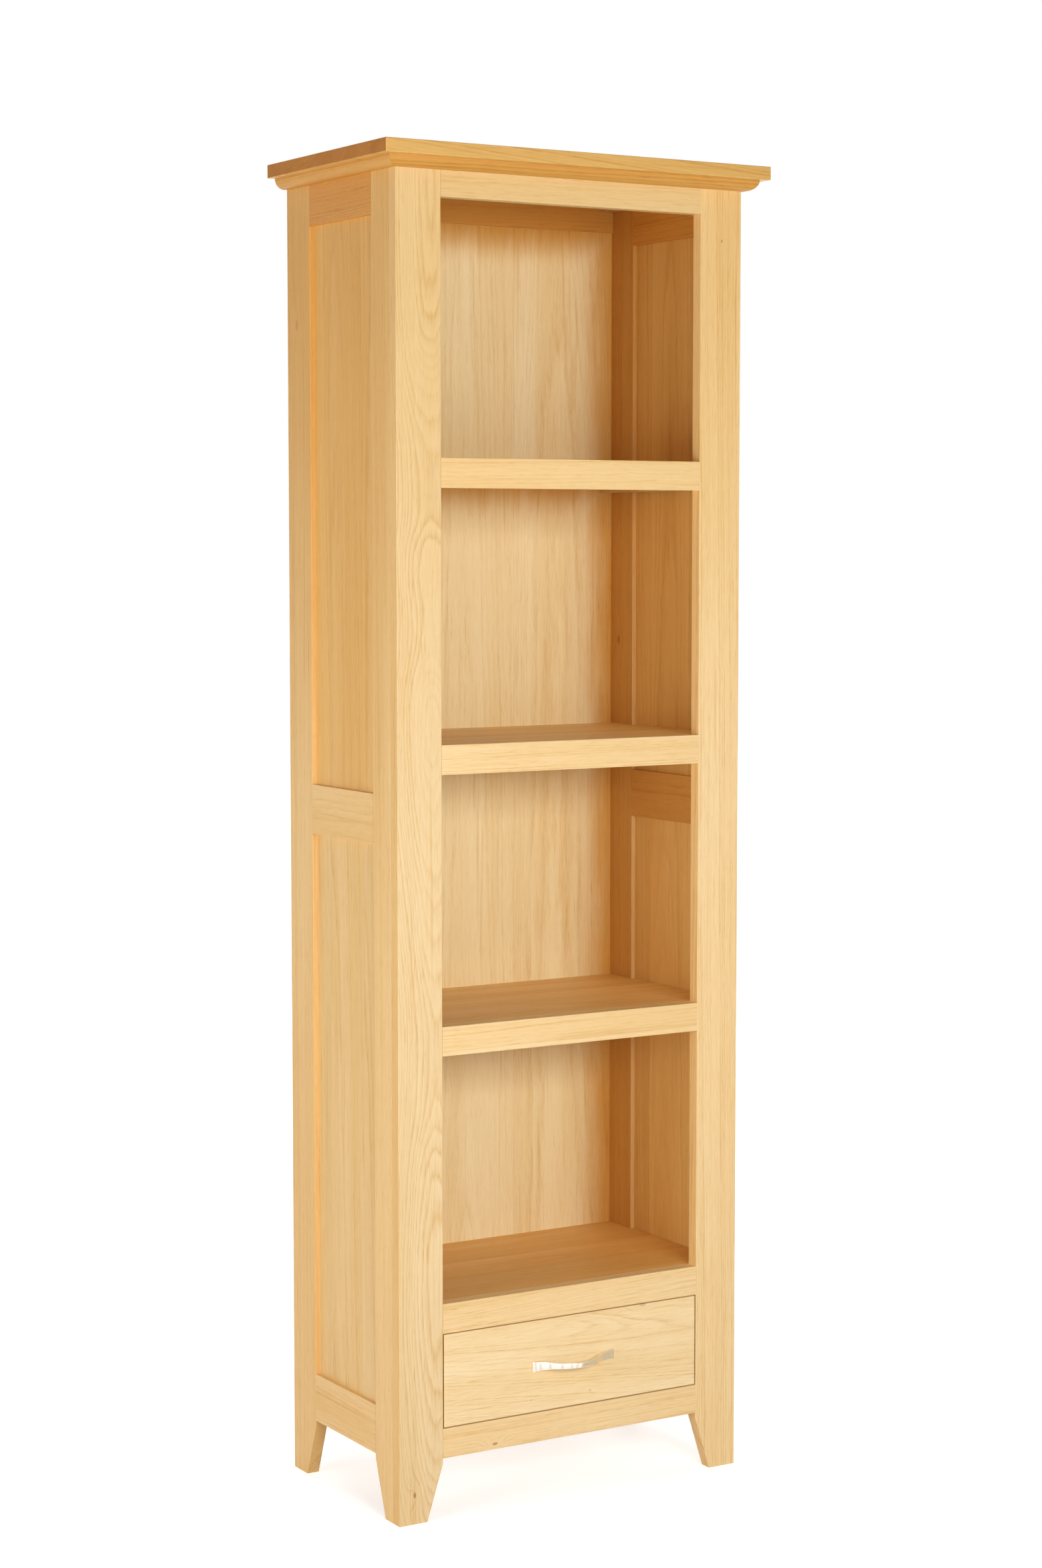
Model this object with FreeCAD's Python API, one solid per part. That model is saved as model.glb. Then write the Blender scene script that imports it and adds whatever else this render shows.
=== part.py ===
import FreeCAD, Part
import math
import os

# A tall oak bookcase: four open compartments over one inset drawer.
# Millimetres. X runs across the front, Y from front to back, Z up.
# The origin is on the floor, at the middle of the overall width and depth.

Vector = FreeCAD.Vector

# Overall sizes
carcass_width = 536.0
carcass_depth = 306.0
overall_height = 1800.0
top_overhang = 29.0
top_thickness = 18.0

# Face frame
frame_thickness = 18.0
front_stile_width = 66.0
header_rail_height = 48.0
shelf_rail_height = 39.0
drawer_rail_height = 40.0
bottom_rail_height = 40.0
drawer_opening_height = 128.0
compartment_shares = (0.249, 0.2495, 0.251, 0.2505)

# Feet
leg_clearance = 82.0
taper_height = 75.0
foot_width_front = 42.0
foot_width_side = 39.0

# Side frames
side_thickness = 18.0
side_stile_width = 66.0
side_top_rail_height = 68.0
side_mid_rail_height = 67.0
side_bottom_rail_height = 66.0
panel_thickness = 5.0
panel_groove_depth = 8.0
panel_expansion_gap = 1.0

# Frame joints
tenon_thickness = 6.0
tenon_length = 20.0
tenon_shoulder = 6.0
side_tenon_shoulder = 12.0
cross_tenon_length = 12.0
mortise_end_gap = 1.0
corner_tongue_width = 6.0
corner_tongue_depth = 6.0

# Softened edges: sanded round where they show, planed off on the boards inside
arris_radius = 0.5
arris_chamfer = 0.5
drawer_arris_radius = 1.0
top_arris_radius = 1.2

# Cornice moulding
cornice_height = 14.0
cornice_projection = 18.0
cornice_quirk = 2.0
cornice_foot_fillet = 1.5

# Back
back_panel_thickness = 8.0
back_panel_setback = 1.0
back_rebate_width = 10.0
back_edge_gap = 0.5
back_top_rail_height = 46.0
back_top_rail_thickness = 12.0
back_bottom_rail_thickness = 18.0
back_rail_rebate = 10.0

# Shelves
shelf_thickness = 18.0
shelf_tongue_thickness = 6.0
shelf_tongue_depth = 5.0
shelf_lug_gap = 0.5
bearer_width = 20.0
bearer_height = 20.0

# Top battens
top_batten_width = 20.0
top_batten_height = 16.0

# Drawer
drawer_gap = 1.5
drawer_front_thickness = 18.0
drawer_side_thickness = 12.0
drawer_side_height = 118.0
drawer_back_thickness = 12.0
drawer_back_drop = 6.0
drawer_back_inset = 10.0
drawer_dado_depth = 5.0
drawer_bottom_thickness = 6.0
drawer_bottom_rise = 8.0
drawer_groove_depth = 5.0
drawer_stop_length = 18.0
dovetail_lap = 6.0
dovetail_count = 3
dovetail_narrow_share = 0.55
dovetail_wide_share = 0.78

# Drawer runners
runner_width = 62.0
runner_thickness = 18.0
guide_gap = 0.7
guide_width = 24.0
guide_height = 20.0
kicker_clearance = 2.0

# Handle
handle_length = 130.0
handle_rise = 24.0
handle_thickness = 3.5
handle_end_height = 15.0
handle_waist_height = 7.0
handle_edge_chamfer = 0.7
handle_screw_spacing = 96.0
handle_boss_radius = 4.5
handle_boss_taper = 1.0
handle_thread_depth = 3.2

# Screws
machine_screw_radius = 2.0
machine_screw_head_radius = 4.0
machine_screw_head_height = 2.4
machine_screw_head_chamfer = 0.9
machine_screw_clearance = 0.2
wood_screw_radius = 1.75
wood_screw_head_radius = 3.5
top_screw_length = 28.0
top_screw_count = 2
top_screw_end_distance = 60.0

# Places that follow from the sizes above
half_width = carcass_width / 2
overall_depth = carcass_depth + top_overhang
back_y = overall_depth / 2
front_y = back_y - carcass_depth
frame_back_y = front_y + frame_thickness
frame_mid_y = front_y + frame_thickness / 2
side_inner_x = half_width - side_thickness
side_mid_x = half_width - side_thickness / 2
opening_half = half_width - front_stile_width
carcass_top = overall_height - top_thickness

bottom_rail_top = leg_clearance + bottom_rail_height
drawer_rail_bottom = bottom_rail_top + drawer_opening_height
base_top = drawer_rail_bottom + drawer_rail_height
header_bottom = carcass_top - header_rail_height
SHELVES = ("lower", "middle", "upper")
clear_height = header_bottom - base_top - len(SHELVES) * shelf_rail_height
SHELF_TOPS = {}
shelf_top = base_top
for shelf_name, share in zip(SHELVES, compartment_shares):
    shelf_top += share * clear_height + shelf_rail_height
    SHELF_TOPS[shelf_name] = shelf_top

side_front_y = front_y + side_stile_width
side_rear_y = back_y - side_stile_width
side_bottom_rail_top = leg_clearance + side_bottom_rail_height
side_top_rail_bottom = carcass_top - side_top_rail_height
side_mid_rail_middle = (side_bottom_rail_top + side_top_rail_bottom) / 2
side_mid_rail_bottom = side_mid_rail_middle - side_mid_rail_height / 2
side_mid_rail_top = side_mid_rail_middle + side_mid_rail_height / 2
PANEL_SPANS = {
    "lower": (side_bottom_rail_top, side_mid_rail_bottom),
    "upper": (side_mid_rail_top, side_top_rail_bottom),
}

back_rebate_depth = back_panel_thickness + back_panel_setback
back_panel_front_y = back_y - back_rebate_depth
back_bottom_rail_front_y = back_y - back_bottom_rail_thickness
back_top_rail_bottom = carcass_top - back_top_rail_height
back_panel_bottom = bottom_rail_top - back_rail_rebate
back_panel_top = back_top_rail_bottom + back_rail_rebate

drawer_half = opening_half - drawer_gap
drawer_base = bottom_rail_top + drawer_gap
drawer_front_back_y = front_y + drawer_front_thickness
drawer_rear_y = back_bottom_rail_front_y - drawer_stop_length
drawer_inner_x = drawer_half - drawer_side_thickness
drawer_side_top = drawer_base + drawer_side_height
drawer_bottom_z = drawer_base + drawer_bottom_rise
drawer_bottom_top = drawer_bottom_z + drawer_bottom_thickness
drawer_middle_z = (bottom_rail_top + drawer_rail_bottom) / 2
drawer_groove_reach = drawer_inner_x + drawer_groove_depth
drawer_groove_front_y = drawer_front_back_y - drawer_groove_depth

PIECES = {}


def keep(name, shape):
    """Files a finished piece under its node name."""
    PIECES[name] = shape


def keep_pair(name, right_shape):
    """Files a right-hand piece and its mirror image on the left."""
    keep(name + "_right", right_shape)
    keep(name + "_left", right_shape.mirror(Vector(), Vector(1, 0, 0)))


def board(x, y, z):
    """A rectangular board; x, y and z are (low, high)."""
    corner = Vector(x[0], y[0], z[0])
    return Part.makeBox(x[1] - x[0], y[1] - y[0], z[1] - z[0], corner)


def both(limit):
    """The (low, high) of a piece centred on the middle of the bookcase."""
    return (-limit, limit)


def centred(middle, size):
    """The (low, high) of a size about a middle."""
    return (middle - size / 2, middle + size / 2)


def edges_along(shape, axis):
    """The edges whose ends lie furthest apart along an axis, given as 0, 1 or 2."""
    found = []
    for edge in shape.Edges:
        run = edge.Vertexes[-1].Point - edge.Vertexes[0].Point
        reach = [abs(part) for part in run]
        if reach[axis] == max(reach):
            found.append(edge)
    return found


def sanded(shape, axis):
    """Rounds the arrises that run along one axis."""
    return shape.makeFillet(arris_radius, edges_along(shape, axis))


def planed(shape, axis, chamfer=arris_chamfer):
    """Chamfers the arrises that run along one axis."""
    return shape.makeChamfer(chamfer, edges_along(shape, axis))


def prism(points, plane, low, high):
    """A polygon in the plane XZ or YZ, extruded from low to high along the third axis."""
    if plane == "XZ":
        corners = [Vector(a, low, b) for a, b in points]
        run = Vector(0, high - low, 0)
    else:
        corners = [Vector(low, a, b) for a, b in points]
        run = Vector(high - low, 0, 0)
    return Part.Face(Part.makePolygon(corners + corners[:1])).extrude(run)


def top_board():
    """The overhanging top, flush at the back, with rounded front and side edges."""
    y = (front_y - top_overhang, back_y)
    slab = board(both(half_width + top_overhang), y, (carcass_top, overall_height))
    front_and_sides = [edge for edge in slab.Edges if edge.CenterOfMass.y < back_y - top_overhang]
    return slab.makeFillet(top_arris_radius, front_and_sides)


def cornice_ovolo():
    """The start, middle and end of the ovolo's arc, as (distance out from the carcass, height)."""
    start = (cornice_foot_fillet, carcass_top - cornice_height)
    end = (cornice_projection, carcass_top - cornice_quirk)
    reach = end[0] - start[0]
    rise = end[1] - start[1]
    half_way = math.sqrt(1 / 2)
    middle = (start[0] + reach * half_way, end[1] - rise * half_way)
    return start, middle, end


def cornice_length(place, run):
    """A length of moulding; place turns (out, height) into a point, and run extrudes it."""
    start, middle, end = cornice_ovolo()
    inner_low = place(0, carcass_top - cornice_height)
    arc = Part.Arc(place(*start), place(*middle), place(*end)).toShape()
    outer_top = place(cornice_projection, carcass_top)
    inner_top = place(0, carcass_top)
    outline = Part.Wire([
        Part.makeLine(inner_low, place(*start)),
        arc,
        Part.makeLine(place(*end), outer_top),
        Part.makeLine(outer_top, inner_top),
        Part.makeLine(inner_top, inner_low),
    ])
    return Part.Face(outline).extrude(run)


def mitre_plan(corners):
    """A block over the cornice's height with the given corners in plan."""
    low = carcass_top - cornice_height
    points = [Vector(x, y, low) for x, y in corners]
    return Part.Face(Part.makePolygon(points + points[:1])).extrude(Vector(0, 0, cornice_height))


def cornices():
    """The moulding under the top: a front length and two sides, mitred at the front corners."""
    outer_x = half_width + cornice_projection
    outer_y = front_y - cornice_projection
    along_front = Vector(2 * outer_x, 0, 0)
    front = cornice_length(lambda out, z: Vector(-outer_x, front_y - out, z), along_front)
    front_plan = [(-outer_x, outer_y), (outer_x, outer_y), (half_width, front_y), (-half_width, front_y)]
    keep("cornice_front", front.common(mitre_plan(front_plan)))
    along_side = Vector(0, back_y - outer_y, 0)
    side = cornice_length(lambda out, z: Vector(half_width + out, outer_y, z), along_side)
    side_plan = [(half_width, front_y), (outer_x, outer_y), (outer_x, back_y), (half_width, back_y)]
    keep_pair("cornice", side.common(mitre_plan(side_plan)))


def front_rail_spans():
    """Bottom and top of each rail of the face frame."""
    spans = {
        "bottom_rail": (leg_clearance, bottom_rail_top),
        "drawer_rail": (drawer_rail_bottom, base_top),
        "header_rail": (header_bottom, carcass_top),
    }
    for name, top in SHELF_TOPS.items():
        spans["shelf_rail_" + name] = (top - shelf_rail_height, top)
    return spans


def shelf_tongue_span(top):
    """Bottom and top of the tongue on a shelf's front edge."""
    return centred(top - shelf_thickness / 2, shelf_tongue_thickness)


def tenon_span(span, shoulder):
    """Bottom and top of a rail's tenon."""
    return (span[0] + shoulder, span[1] - shoulder)


def front_stile():
    """Right stile of the face frame, with its tapered foot, mortises and corner groove."""
    outline = [
        (half_width, 0),
        (half_width, carcass_top),
        (opening_half, carcass_top),
        (opening_half, taper_height),
        (half_width - foot_width_front, 0),
    ]
    stile = sanded(prism(outline, "XZ", front_y, frame_back_y), 2)
    mortise_y = centred(frame_mid_y, tenon_thickness)
    mortise_x = (opening_half, opening_half + tenon_length + mortise_end_gap)
    for span in front_rail_spans().values():
        stile = stile.cut(board(mortise_x, mortise_y, tenon_span(span, tenon_shoulder)))
    return stile.cut(corner_tongue())


def corner_tongue():
    """The tongue that locates the side frame behind the face frame's stile."""
    tongue_y = (frame_back_y - corner_tongue_depth, frame_back_y)
    return board(centred(side_mid_x, corner_tongue_width), tongue_y, (leg_clearance, carcass_top))


def front_rail(name, span):
    """A rail of the face frame with a tenon at each end, and a groove where a shelf meets it."""
    rail = sanded(board(both(opening_half), (front_y, frame_back_y), span), 0)
    tenon_y = centred(frame_mid_y, tenon_thickness)
    rail = rail.fuse(board(both(opening_half + tenon_length), tenon_y, tenon_span(span, tenon_shoulder)))
    if name.startswith("shelf") or name == "drawer_rail":
        groove_y = (frame_back_y - shelf_tongue_depth, frame_back_y)
        rail = rail.cut(board(both(opening_half), groove_y, shelf_tongue_span(span[1])))
    return rail.removeSplitter()


def panel_board(span, reach):
    """A side panel's board, or its pocket, reaching into the grooves around its opening."""
    y = (side_front_y - reach, side_rear_y + reach)
    return board(centred(side_mid_x, panel_thickness), y, (span[0] - reach, span[1] + reach))


def side_rail_spans():
    """Bottom and top of each rail of a side frame."""
    return {
        "bottom": (leg_clearance, side_bottom_rail_top),
        "mid": (side_mid_rail_bottom, side_mid_rail_top),
        "top": (side_top_rail_bottom, carcass_top),
    }


def cut_panel_grooves(member):
    """Cuts the grooves that hold the two side panels out of a stile or rail."""
    for span in PANEL_SPANS.values():
        member = member.cut(panel_board(span, panel_groove_depth))
    return member


def cut_side_mortises(member):
    """Cuts the side rails' mortises out of a stile."""
    reach = tenon_length + mortise_end_gap
    x = centred(side_mid_x, tenon_thickness)
    y = (side_front_y - reach, side_rear_y + reach)
    for span in side_rail_spans().values():
        member = member.cut(board(x, y, tenon_span(span, side_tenon_shoulder)))
    return member


def side_front_stile():
    """Right side's front stile: it stands behind the face frame and shares its foot."""
    outline = [
        (frame_back_y, 0),
        (frame_back_y, carcass_top),
        (side_front_y, carcass_top),
        (side_front_y, taper_height),
        (front_y + foot_width_side, 0),
    ]
    stile = sanded(prism(outline, "YZ", side_inner_x, half_width), 2)
    return cut_side_mortises(cut_panel_grooves(stile.fuse(corner_tongue())))


def side_rear_stile():
    """Right side's rear stile, with its tapered foot and the rebate for the back."""
    outline = [
        (back_y, 0),
        (back_y, carcass_top),
        (side_rear_y, carcass_top),
        (side_rear_y, taper_height),
        (back_y - foot_width_side, 0),
    ]
    stile = sanded(prism(outline, "YZ", side_inner_x, half_width), 2)
    rebate_x = (side_inner_x, side_inner_x + back_rebate_width)
    stile = stile.cut(board(rebate_x, (back_panel_front_y, back_y), (back_panel_bottom, carcass_top)))
    stile = stile.cut(back_bottom_tenon(mortise_end_gap))
    return cut_side_mortises(cut_panel_grooves(stile))


def side_rail(span):
    """A rail of the right side frame, with a tenon at each end and grooves for the panels."""
    rail = sanded(board((side_inner_x, half_width), (side_front_y, side_rear_y), span), 1)
    tenon_y = (side_front_y - tenon_length, side_rear_y + tenon_length)
    tenon = board(centred(side_mid_x, tenon_thickness), tenon_y, tenon_span(span, side_tenon_shoulder))
    return cut_panel_grooves(rail.fuse(tenon)).removeSplitter()


def side_frames():
    """The two frame-and-panel sides."""
    keep_pair("side_front_stile", side_front_stile())
    keep_pair("side_rear_stile", side_rear_stile())
    for name, span in side_rail_spans().items():
        keep_pair("side_%s_rail" % name, side_rail(span))
    for name, span in PANEL_SPANS.items():
        keep_pair("side_%s_panel" % name, panel_board(span, panel_groove_depth - panel_expansion_gap))


def back_panel():
    """The thin back, let into rebates on all four sides."""
    half = side_inner_x + back_rebate_width - back_edge_gap
    y = (back_panel_front_y, back_panel_front_y + back_panel_thickness)
    return board(both(half), y, (back_panel_bottom, back_panel_top))


def back_top_rail():
    """Top rail of the back, proud of the panel inside and rebated for it behind."""
    front = back_y - back_top_rail_thickness
    span = (back_top_rail_bottom, carcass_top)
    rail = planed(board(both(side_inner_x), (front, back_y), span), 0)
    rail = rail.fuse(board(both(side_inner_x + back_rebate_width), (back_panel_front_y, back_y), span))
    rebate = board(both(half_width), (back_panel_front_y, back_y), (back_top_rail_bottom, back_panel_top))
    return rail.cut(rebate).removeSplitter()


def back_bottom_tenon(end_gap=0):
    """The back bottom rail's tenons, or their mortises, from side to side."""
    y = centred(back_y - back_bottom_rail_thickness / 2, tenon_thickness)
    span = tenon_span((leg_clearance, back_panel_bottom), tenon_shoulder)
    return board(both(side_inner_x + cross_tenon_length + end_gap), y, span)


def back_bottom_rail():
    """Bottom rail of the back, between the rear feet, rebated for the panel."""
    y = (back_bottom_rail_front_y, back_y)
    rail = planed(board(both(side_inner_x), y, (leg_clearance, bottom_rail_top)), 0)
    rebate = board(both(half_width), (back_panel_front_y, back_y), (back_panel_bottom, bottom_rail_top))
    return rail.cut(rebate).fuse(back_bottom_tenon()).removeSplitter()


def shelf(top):
    """A shelf: tongued into its front rail, with a lug each side that reaches the side panel."""
    z = (top - shelf_thickness, top)
    body = planed(board(both(side_inner_x), (frame_back_y, back_panel_front_y), z), 0)
    lug_x = side_mid_x - panel_thickness / 2 - shelf_lug_gap
    lugs = board(both(lug_x), (side_front_y, side_rear_y), z)
    tongue_y = (frame_back_y - shelf_tongue_depth, back_y - carcass_depth / 2)
    tongue = board(both(opening_half), tongue_y, shelf_tongue_span(top))
    return body.fuse([lugs, tongue]).removeSplitter()


def shelves():
    """Three shelves with a pair of bearers each, and the board over the drawer."""
    keep("drawer_cover_board", shelf(base_top))
    bearer_x = (side_inner_x - bearer_width, side_inner_x)
    for name, top in SHELF_TOPS.items():
        keep("shelf_" + name, shelf(top))
        under = top - shelf_thickness
        bearer = board(bearer_x, (frame_back_y, back_panel_front_y), (under - bearer_height, under))
        keep_pair("shelf_bearer_" + name, planed(bearer, 1))


def wood_screw(head):
    """A countersunk screw that points upwards: a cone for its head, a shank and a point."""
    upwards = Vector(0, 0, 1)
    cone_height = wood_screw_head_radius - wood_screw_radius
    shank_end = top_screw_length - wood_screw_radius
    cone = Part.makeCone(wood_screw_head_radius, wood_screw_radius, cone_height, head, upwards)
    shank_start = head + upwards * cone_height
    shank = Part.makeCylinder(wood_screw_radius, shank_end - cone_height, shank_start, upwards)
    point = Part.makeCone(wood_screw_radius, 0, wood_screw_radius, head + upwards * shank_end, upwards)
    return cone.fuse([shank, point])


def top_screws():
    """Screws up through the right batten into the top."""
    x = side_inner_x - top_batten_width / 2
    z = carcass_top - top_batten_height
    first = frame_back_y + top_screw_end_distance
    last = back_y - back_top_rail_thickness - top_screw_end_distance
    pitch = (last - first) / (top_screw_count - 1)
    return [wood_screw(Vector(x, first + i * pitch, z)) for i in range(top_screw_count)]


def top_and_battens():
    """The top with its two battens and the screws that hold it."""
    rear = back_y - back_top_rail_thickness
    batten_x = (side_inner_x - top_batten_width, side_inner_x)
    batten_z = (carcass_top - top_batten_height, carcass_top)
    batten = planed(board(batten_x, (frame_back_y, rear), batten_z), 1)
    slab = top_board()
    screws = []
    for screw in top_screws():
        batten = batten.cut(screw)
        pair = [screw, screw.mirror(Vector(), Vector(1, 0, 0))]
        slab = slab.cut(pair)
        screws += pair
    keep("top_board", slab)
    keep_pair("top_batten", batten)
    keep("top_screws", Part.makeCompound(screws))


def dovetails():
    """The tails on the right drawer side's front end, each wider at its tip than at its root."""
    pitch = drawer_side_height / dovetail_count
    tip = front_y + dovetail_lap
    root = drawer_front_back_y
    tails = []
    for i in range(dovetail_count):
        middle = drawer_base + i * pitch + pitch / 2
        narrow = centred(middle, pitch * dovetail_narrow_share)
        wide = centred(middle, pitch * dovetail_wide_share)
        outline = [(root, narrow[0]), (tip, wide[0]), (tip, wide[1]), (root, narrow[1])]
        tails.append(prism(outline, "YZ", drawer_inner_x, drawer_half))
    return tails


def drawer_bottom(rear):
    """The drawer's thin bottom, let into grooves in the front and both sides."""
    y = (drawer_groove_front_y, rear)
    return board(both(drawer_groove_reach), y, (drawer_bottom_z, drawer_bottom_top))


def drawer_side():
    """Right drawer side: tails at the front, a groove for the bottom and a dado for the back."""
    y = (drawer_front_back_y, drawer_rear_y)
    body = board((drawer_inner_x, drawer_half), y, (drawer_base, drawer_side_top))
    side = planed(body, 1).fuse(dovetails())
    return side.cut([drawer_bottom(drawer_rear_y), drawer_back()]).removeSplitter()


def drawer_back():
    """The drawer's back: housed in the sides, standing on the bottom board."""
    rear = drawer_rear_y - drawer_back_inset
    z = (drawer_bottom_top, drawer_side_top - drawer_back_drop)
    return board(both(drawer_inner_x + drawer_dado_depth), (rear - drawer_back_thickness, rear), z)


def handle_screw_places():
    """Where the handle's two screws stand, across the drawer front."""
    return both(handle_screw_spacing / 2)


def drawer_front():
    """The inset drawer front, with dovetail sockets, a groove and holes for the handle's screws."""
    height = (drawer_base, drawer_rail_bottom - drawer_gap)
    front = board(both(drawer_half), (front_y, drawer_front_back_y), height)
    face_edges = [edge for edge in front.Edges if edge.CenterOfMass.y < front_y + arris_radius]
    front = front.makeFillet(drawer_arris_radius, face_edges)
    for tail in dovetails():
        front = front.cut([tail, tail.mirror(Vector(), Vector(1, 0, 0))])
    front = front.cut(drawer_bottom(drawer_front_back_y))
    hole_radius = machine_screw_radius + machine_screw_clearance
    for x in handle_screw_places():
        start = Vector(x, front_y, drawer_middle_z)
        hole = Part.makeCylinder(hole_radius, drawer_front_thickness, start, Vector(0, 1, 0))
        front = front.cut(hole)
    return front


def bow_point(x, offset):
    """A point of the bow's centre line, moved outwards by offset: two arcs that meet half way up."""
    half = handle_length / 2
    radius = (half * half + handle_rise * handle_rise) / (4 * handle_rise)
    far = abs(x) > half / 2
    side = math.copysign(1, x)
    if far:
        centre = Vector(side * half, front_y - radius, 0)
        reach = radius - offset
        angle = math.asin((half - abs(x)) / radius)
        return centre + Vector(-side * math.sin(angle) * reach, math.cos(angle) * reach, 0)
    centre = Vector(0, front_y - handle_rise + radius, 0)
    reach = radius + offset
    angle = math.asin(x / radius)
    return centre + Vector(math.sin(angle) * reach, -math.cos(angle) * reach, 0)


def bow_arcs(offset):
    """The bow's line at an offset, as four tangent arcs from left to right."""
    quarter = handle_length / 4
    arcs = []
    for i in range(-2, 2):
        start = i * quarter
        points = [bow_point(x, offset) for x in (start, start + quarter / 2, start + quarter)]
        arcs.append(Part.Arc(*points).toShape())
    return arcs


def closed_face(first, second):
    """The face between two chains of edges that run side by side."""
    starts = Part.makeLine(first[0].Vertexes[0].Point, second[0].Vertexes[0].Point)
    ends = Part.makeLine(first[-1].Vertexes[-1].Point, second[-1].Vertexes[-1].Point)
    return Part.Face(Part.Wire(Part.__sortEdges__(first + second + [starts, ends])))


def bow_band():
    """The strap's bowed section in plan, extruded to its full height."""
    band = closed_face(bow_arcs(0), bow_arcs(handle_thickness))
    band.translate(Vector(0, 0, drawer_middle_z - handle_end_height / 2))
    return band.extrude(Vector(0, 0, handle_end_height))


def waist_edge(level):
    """The strap's upper (1) or lower (-1) edge in front view: an arc, slimmest in the middle."""
    half = handle_length / 2
    end_z = drawer_middle_z + level * handle_end_height / 2
    waist_z = drawer_middle_z + level * handle_waist_height / 2
    y = front_y - handle_rise - 2 * handle_thickness
    return Part.Arc(Vector(-half, y, end_z), Vector(0, y, waist_z), Vector(half, y, end_z)).toShape()


def handle_boss(x):
    """A short tapered boss between the drawer front and the strap."""
    root = Vector(x, front_y, drawer_middle_z)
    height = front_y - bow_point(x, handle_thickness / 2).y
    root_radius = handle_boss_radius + handle_boss_taper
    return Part.makeCone(root_radius, handle_boss_radius, height, root, Vector(0, -1, 0))


def drawer_handle():
    """The bow handle: a bowed strap, waisted in front view, on two low bosses."""
    waist = closed_face([waist_edge(1)], [waist_edge(-1)])
    strap = bow_band().common(waist.extrude(Vector(0, handle_rise + 2 * handle_thickness, 0)))
    strap = planed(strap, 0, handle_edge_chamfer)
    strap = strap.fuse([handle_boss(x) for x in handle_screw_places()])
    return strap.cut(handle_screws()).removeSplitter()


def handle_screws():
    """Two machine screws from inside the drawer into the handle's bosses."""
    screws = []
    length = drawer_front_thickness + handle_thread_depth
    for x in handle_screw_places():
        seat = Vector(x, drawer_front_back_y, drawer_middle_z)
        shank = Part.makeCylinder(machine_screw_radius, length, seat, Vector(0, -1, 0))
        head = Part.makeCylinder(machine_screw_head_radius, machine_screw_head_height, seat, Vector(0, 1, 0))
        crown = seat.y + machine_screw_head_height / 2
        rim = [edge for edge in head.Edges if edge.CenterOfMass.y > crown and edge.Closed]
        screws.append(head.makeChamfer(machine_screw_head_chamfer, rim).fuse(shank))
    return screws


def drawer():
    """The drawer: front, two sides, back, bottom, handle and its screws."""
    keep("drawer_front", drawer_front())
    keep_pair("drawer_side", drawer_side())
    keep("drawer_back", drawer_back())
    keep("drawer_bottom", drawer_bottom(drawer_rear_y))
    keep("drawer_handle", drawer_handle())
    keep("handle_screws", Part.makeCompound(handle_screws()))


def drawer_ways():
    """What the drawer runs on, between and under, on each side."""
    y = (frame_back_y, back_bottom_rail_front_y)
    runner_x = (side_inner_x - runner_width, side_inner_x)
    keep_pair("drawer_runner", planed(board(runner_x, y, (drawer_base - runner_thickness, drawer_base)), 1))
    guide_x = (drawer_half + guide_gap, drawer_half + guide_gap + guide_width)
    keep_pair("drawer_guide", planed(board(guide_x, y, (drawer_base, drawer_base + guide_height)), 1))
    kicker_z = (drawer_side_top + kicker_clearance, base_top - shelf_thickness)
    keep_pair("drawer_kicker", planed(board(runner_x, (frame_back_y, back_panel_front_y), kicker_z), 1))
    stop_z = (drawer_base, drawer_base + guide_height)
    stop_y = (drawer_rear_y, back_bottom_rail_front_y)
    keep_pair("drawer_stop", planed(board((drawer_inner_x, drawer_half), stop_y, stop_z), 2))


def build():
    """Makes every piece."""
    top_and_battens()
    cornices()
    keep_pair("front_stile", front_stile())
    for name, span in front_rail_spans().items():
        keep(name, front_rail(name, span))
    side_frames()
    keep("back_panel", back_panel())
    keep("back_top_rail", back_top_rail())
    keep("back_bottom_rail", back_bottom_rail())
    shelves()
    drawer_ways()
    drawer()


build()
os.makedirs("parts", exist_ok=True)
for node, solid in PIECES.items():
    solid.exportStep("parts/%s.step" % node)
print(len(PIECES), "pieces")
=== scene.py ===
from collections import namedtuple
import math

import bpy
import numpy as np
from mathutils import Color, Matrix, Vector


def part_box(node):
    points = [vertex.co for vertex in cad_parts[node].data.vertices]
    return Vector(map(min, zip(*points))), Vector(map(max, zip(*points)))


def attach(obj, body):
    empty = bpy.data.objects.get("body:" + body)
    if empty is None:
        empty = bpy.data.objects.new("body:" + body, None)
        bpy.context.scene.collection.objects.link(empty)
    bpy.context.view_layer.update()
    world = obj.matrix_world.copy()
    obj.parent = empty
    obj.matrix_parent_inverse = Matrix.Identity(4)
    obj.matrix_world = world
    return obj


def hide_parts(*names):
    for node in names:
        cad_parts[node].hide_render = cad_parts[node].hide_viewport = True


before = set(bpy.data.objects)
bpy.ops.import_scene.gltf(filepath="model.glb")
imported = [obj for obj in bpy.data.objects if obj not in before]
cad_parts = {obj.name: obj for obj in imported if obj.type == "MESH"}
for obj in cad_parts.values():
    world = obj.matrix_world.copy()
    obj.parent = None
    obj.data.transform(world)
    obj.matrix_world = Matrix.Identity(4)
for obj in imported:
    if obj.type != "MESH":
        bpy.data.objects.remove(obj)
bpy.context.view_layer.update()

# A tall oak bookcase with one drawer: its boards get their grain here, and its handle and
# screws their finished shapes. Metres, +Z up, the front faces -Y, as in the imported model.

bl_info = {
    "name": "Oak bookcase",
    "version": (1, 0, 0),
    "blender": (4, 5, 0),
    "location": "3D View > Sidebar > Bookcase",
    "description": "Gives the bookcase its oak, its handle and its screws, and sets up the studio",
    "category": "Object",
}

MM = 0.001

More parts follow.
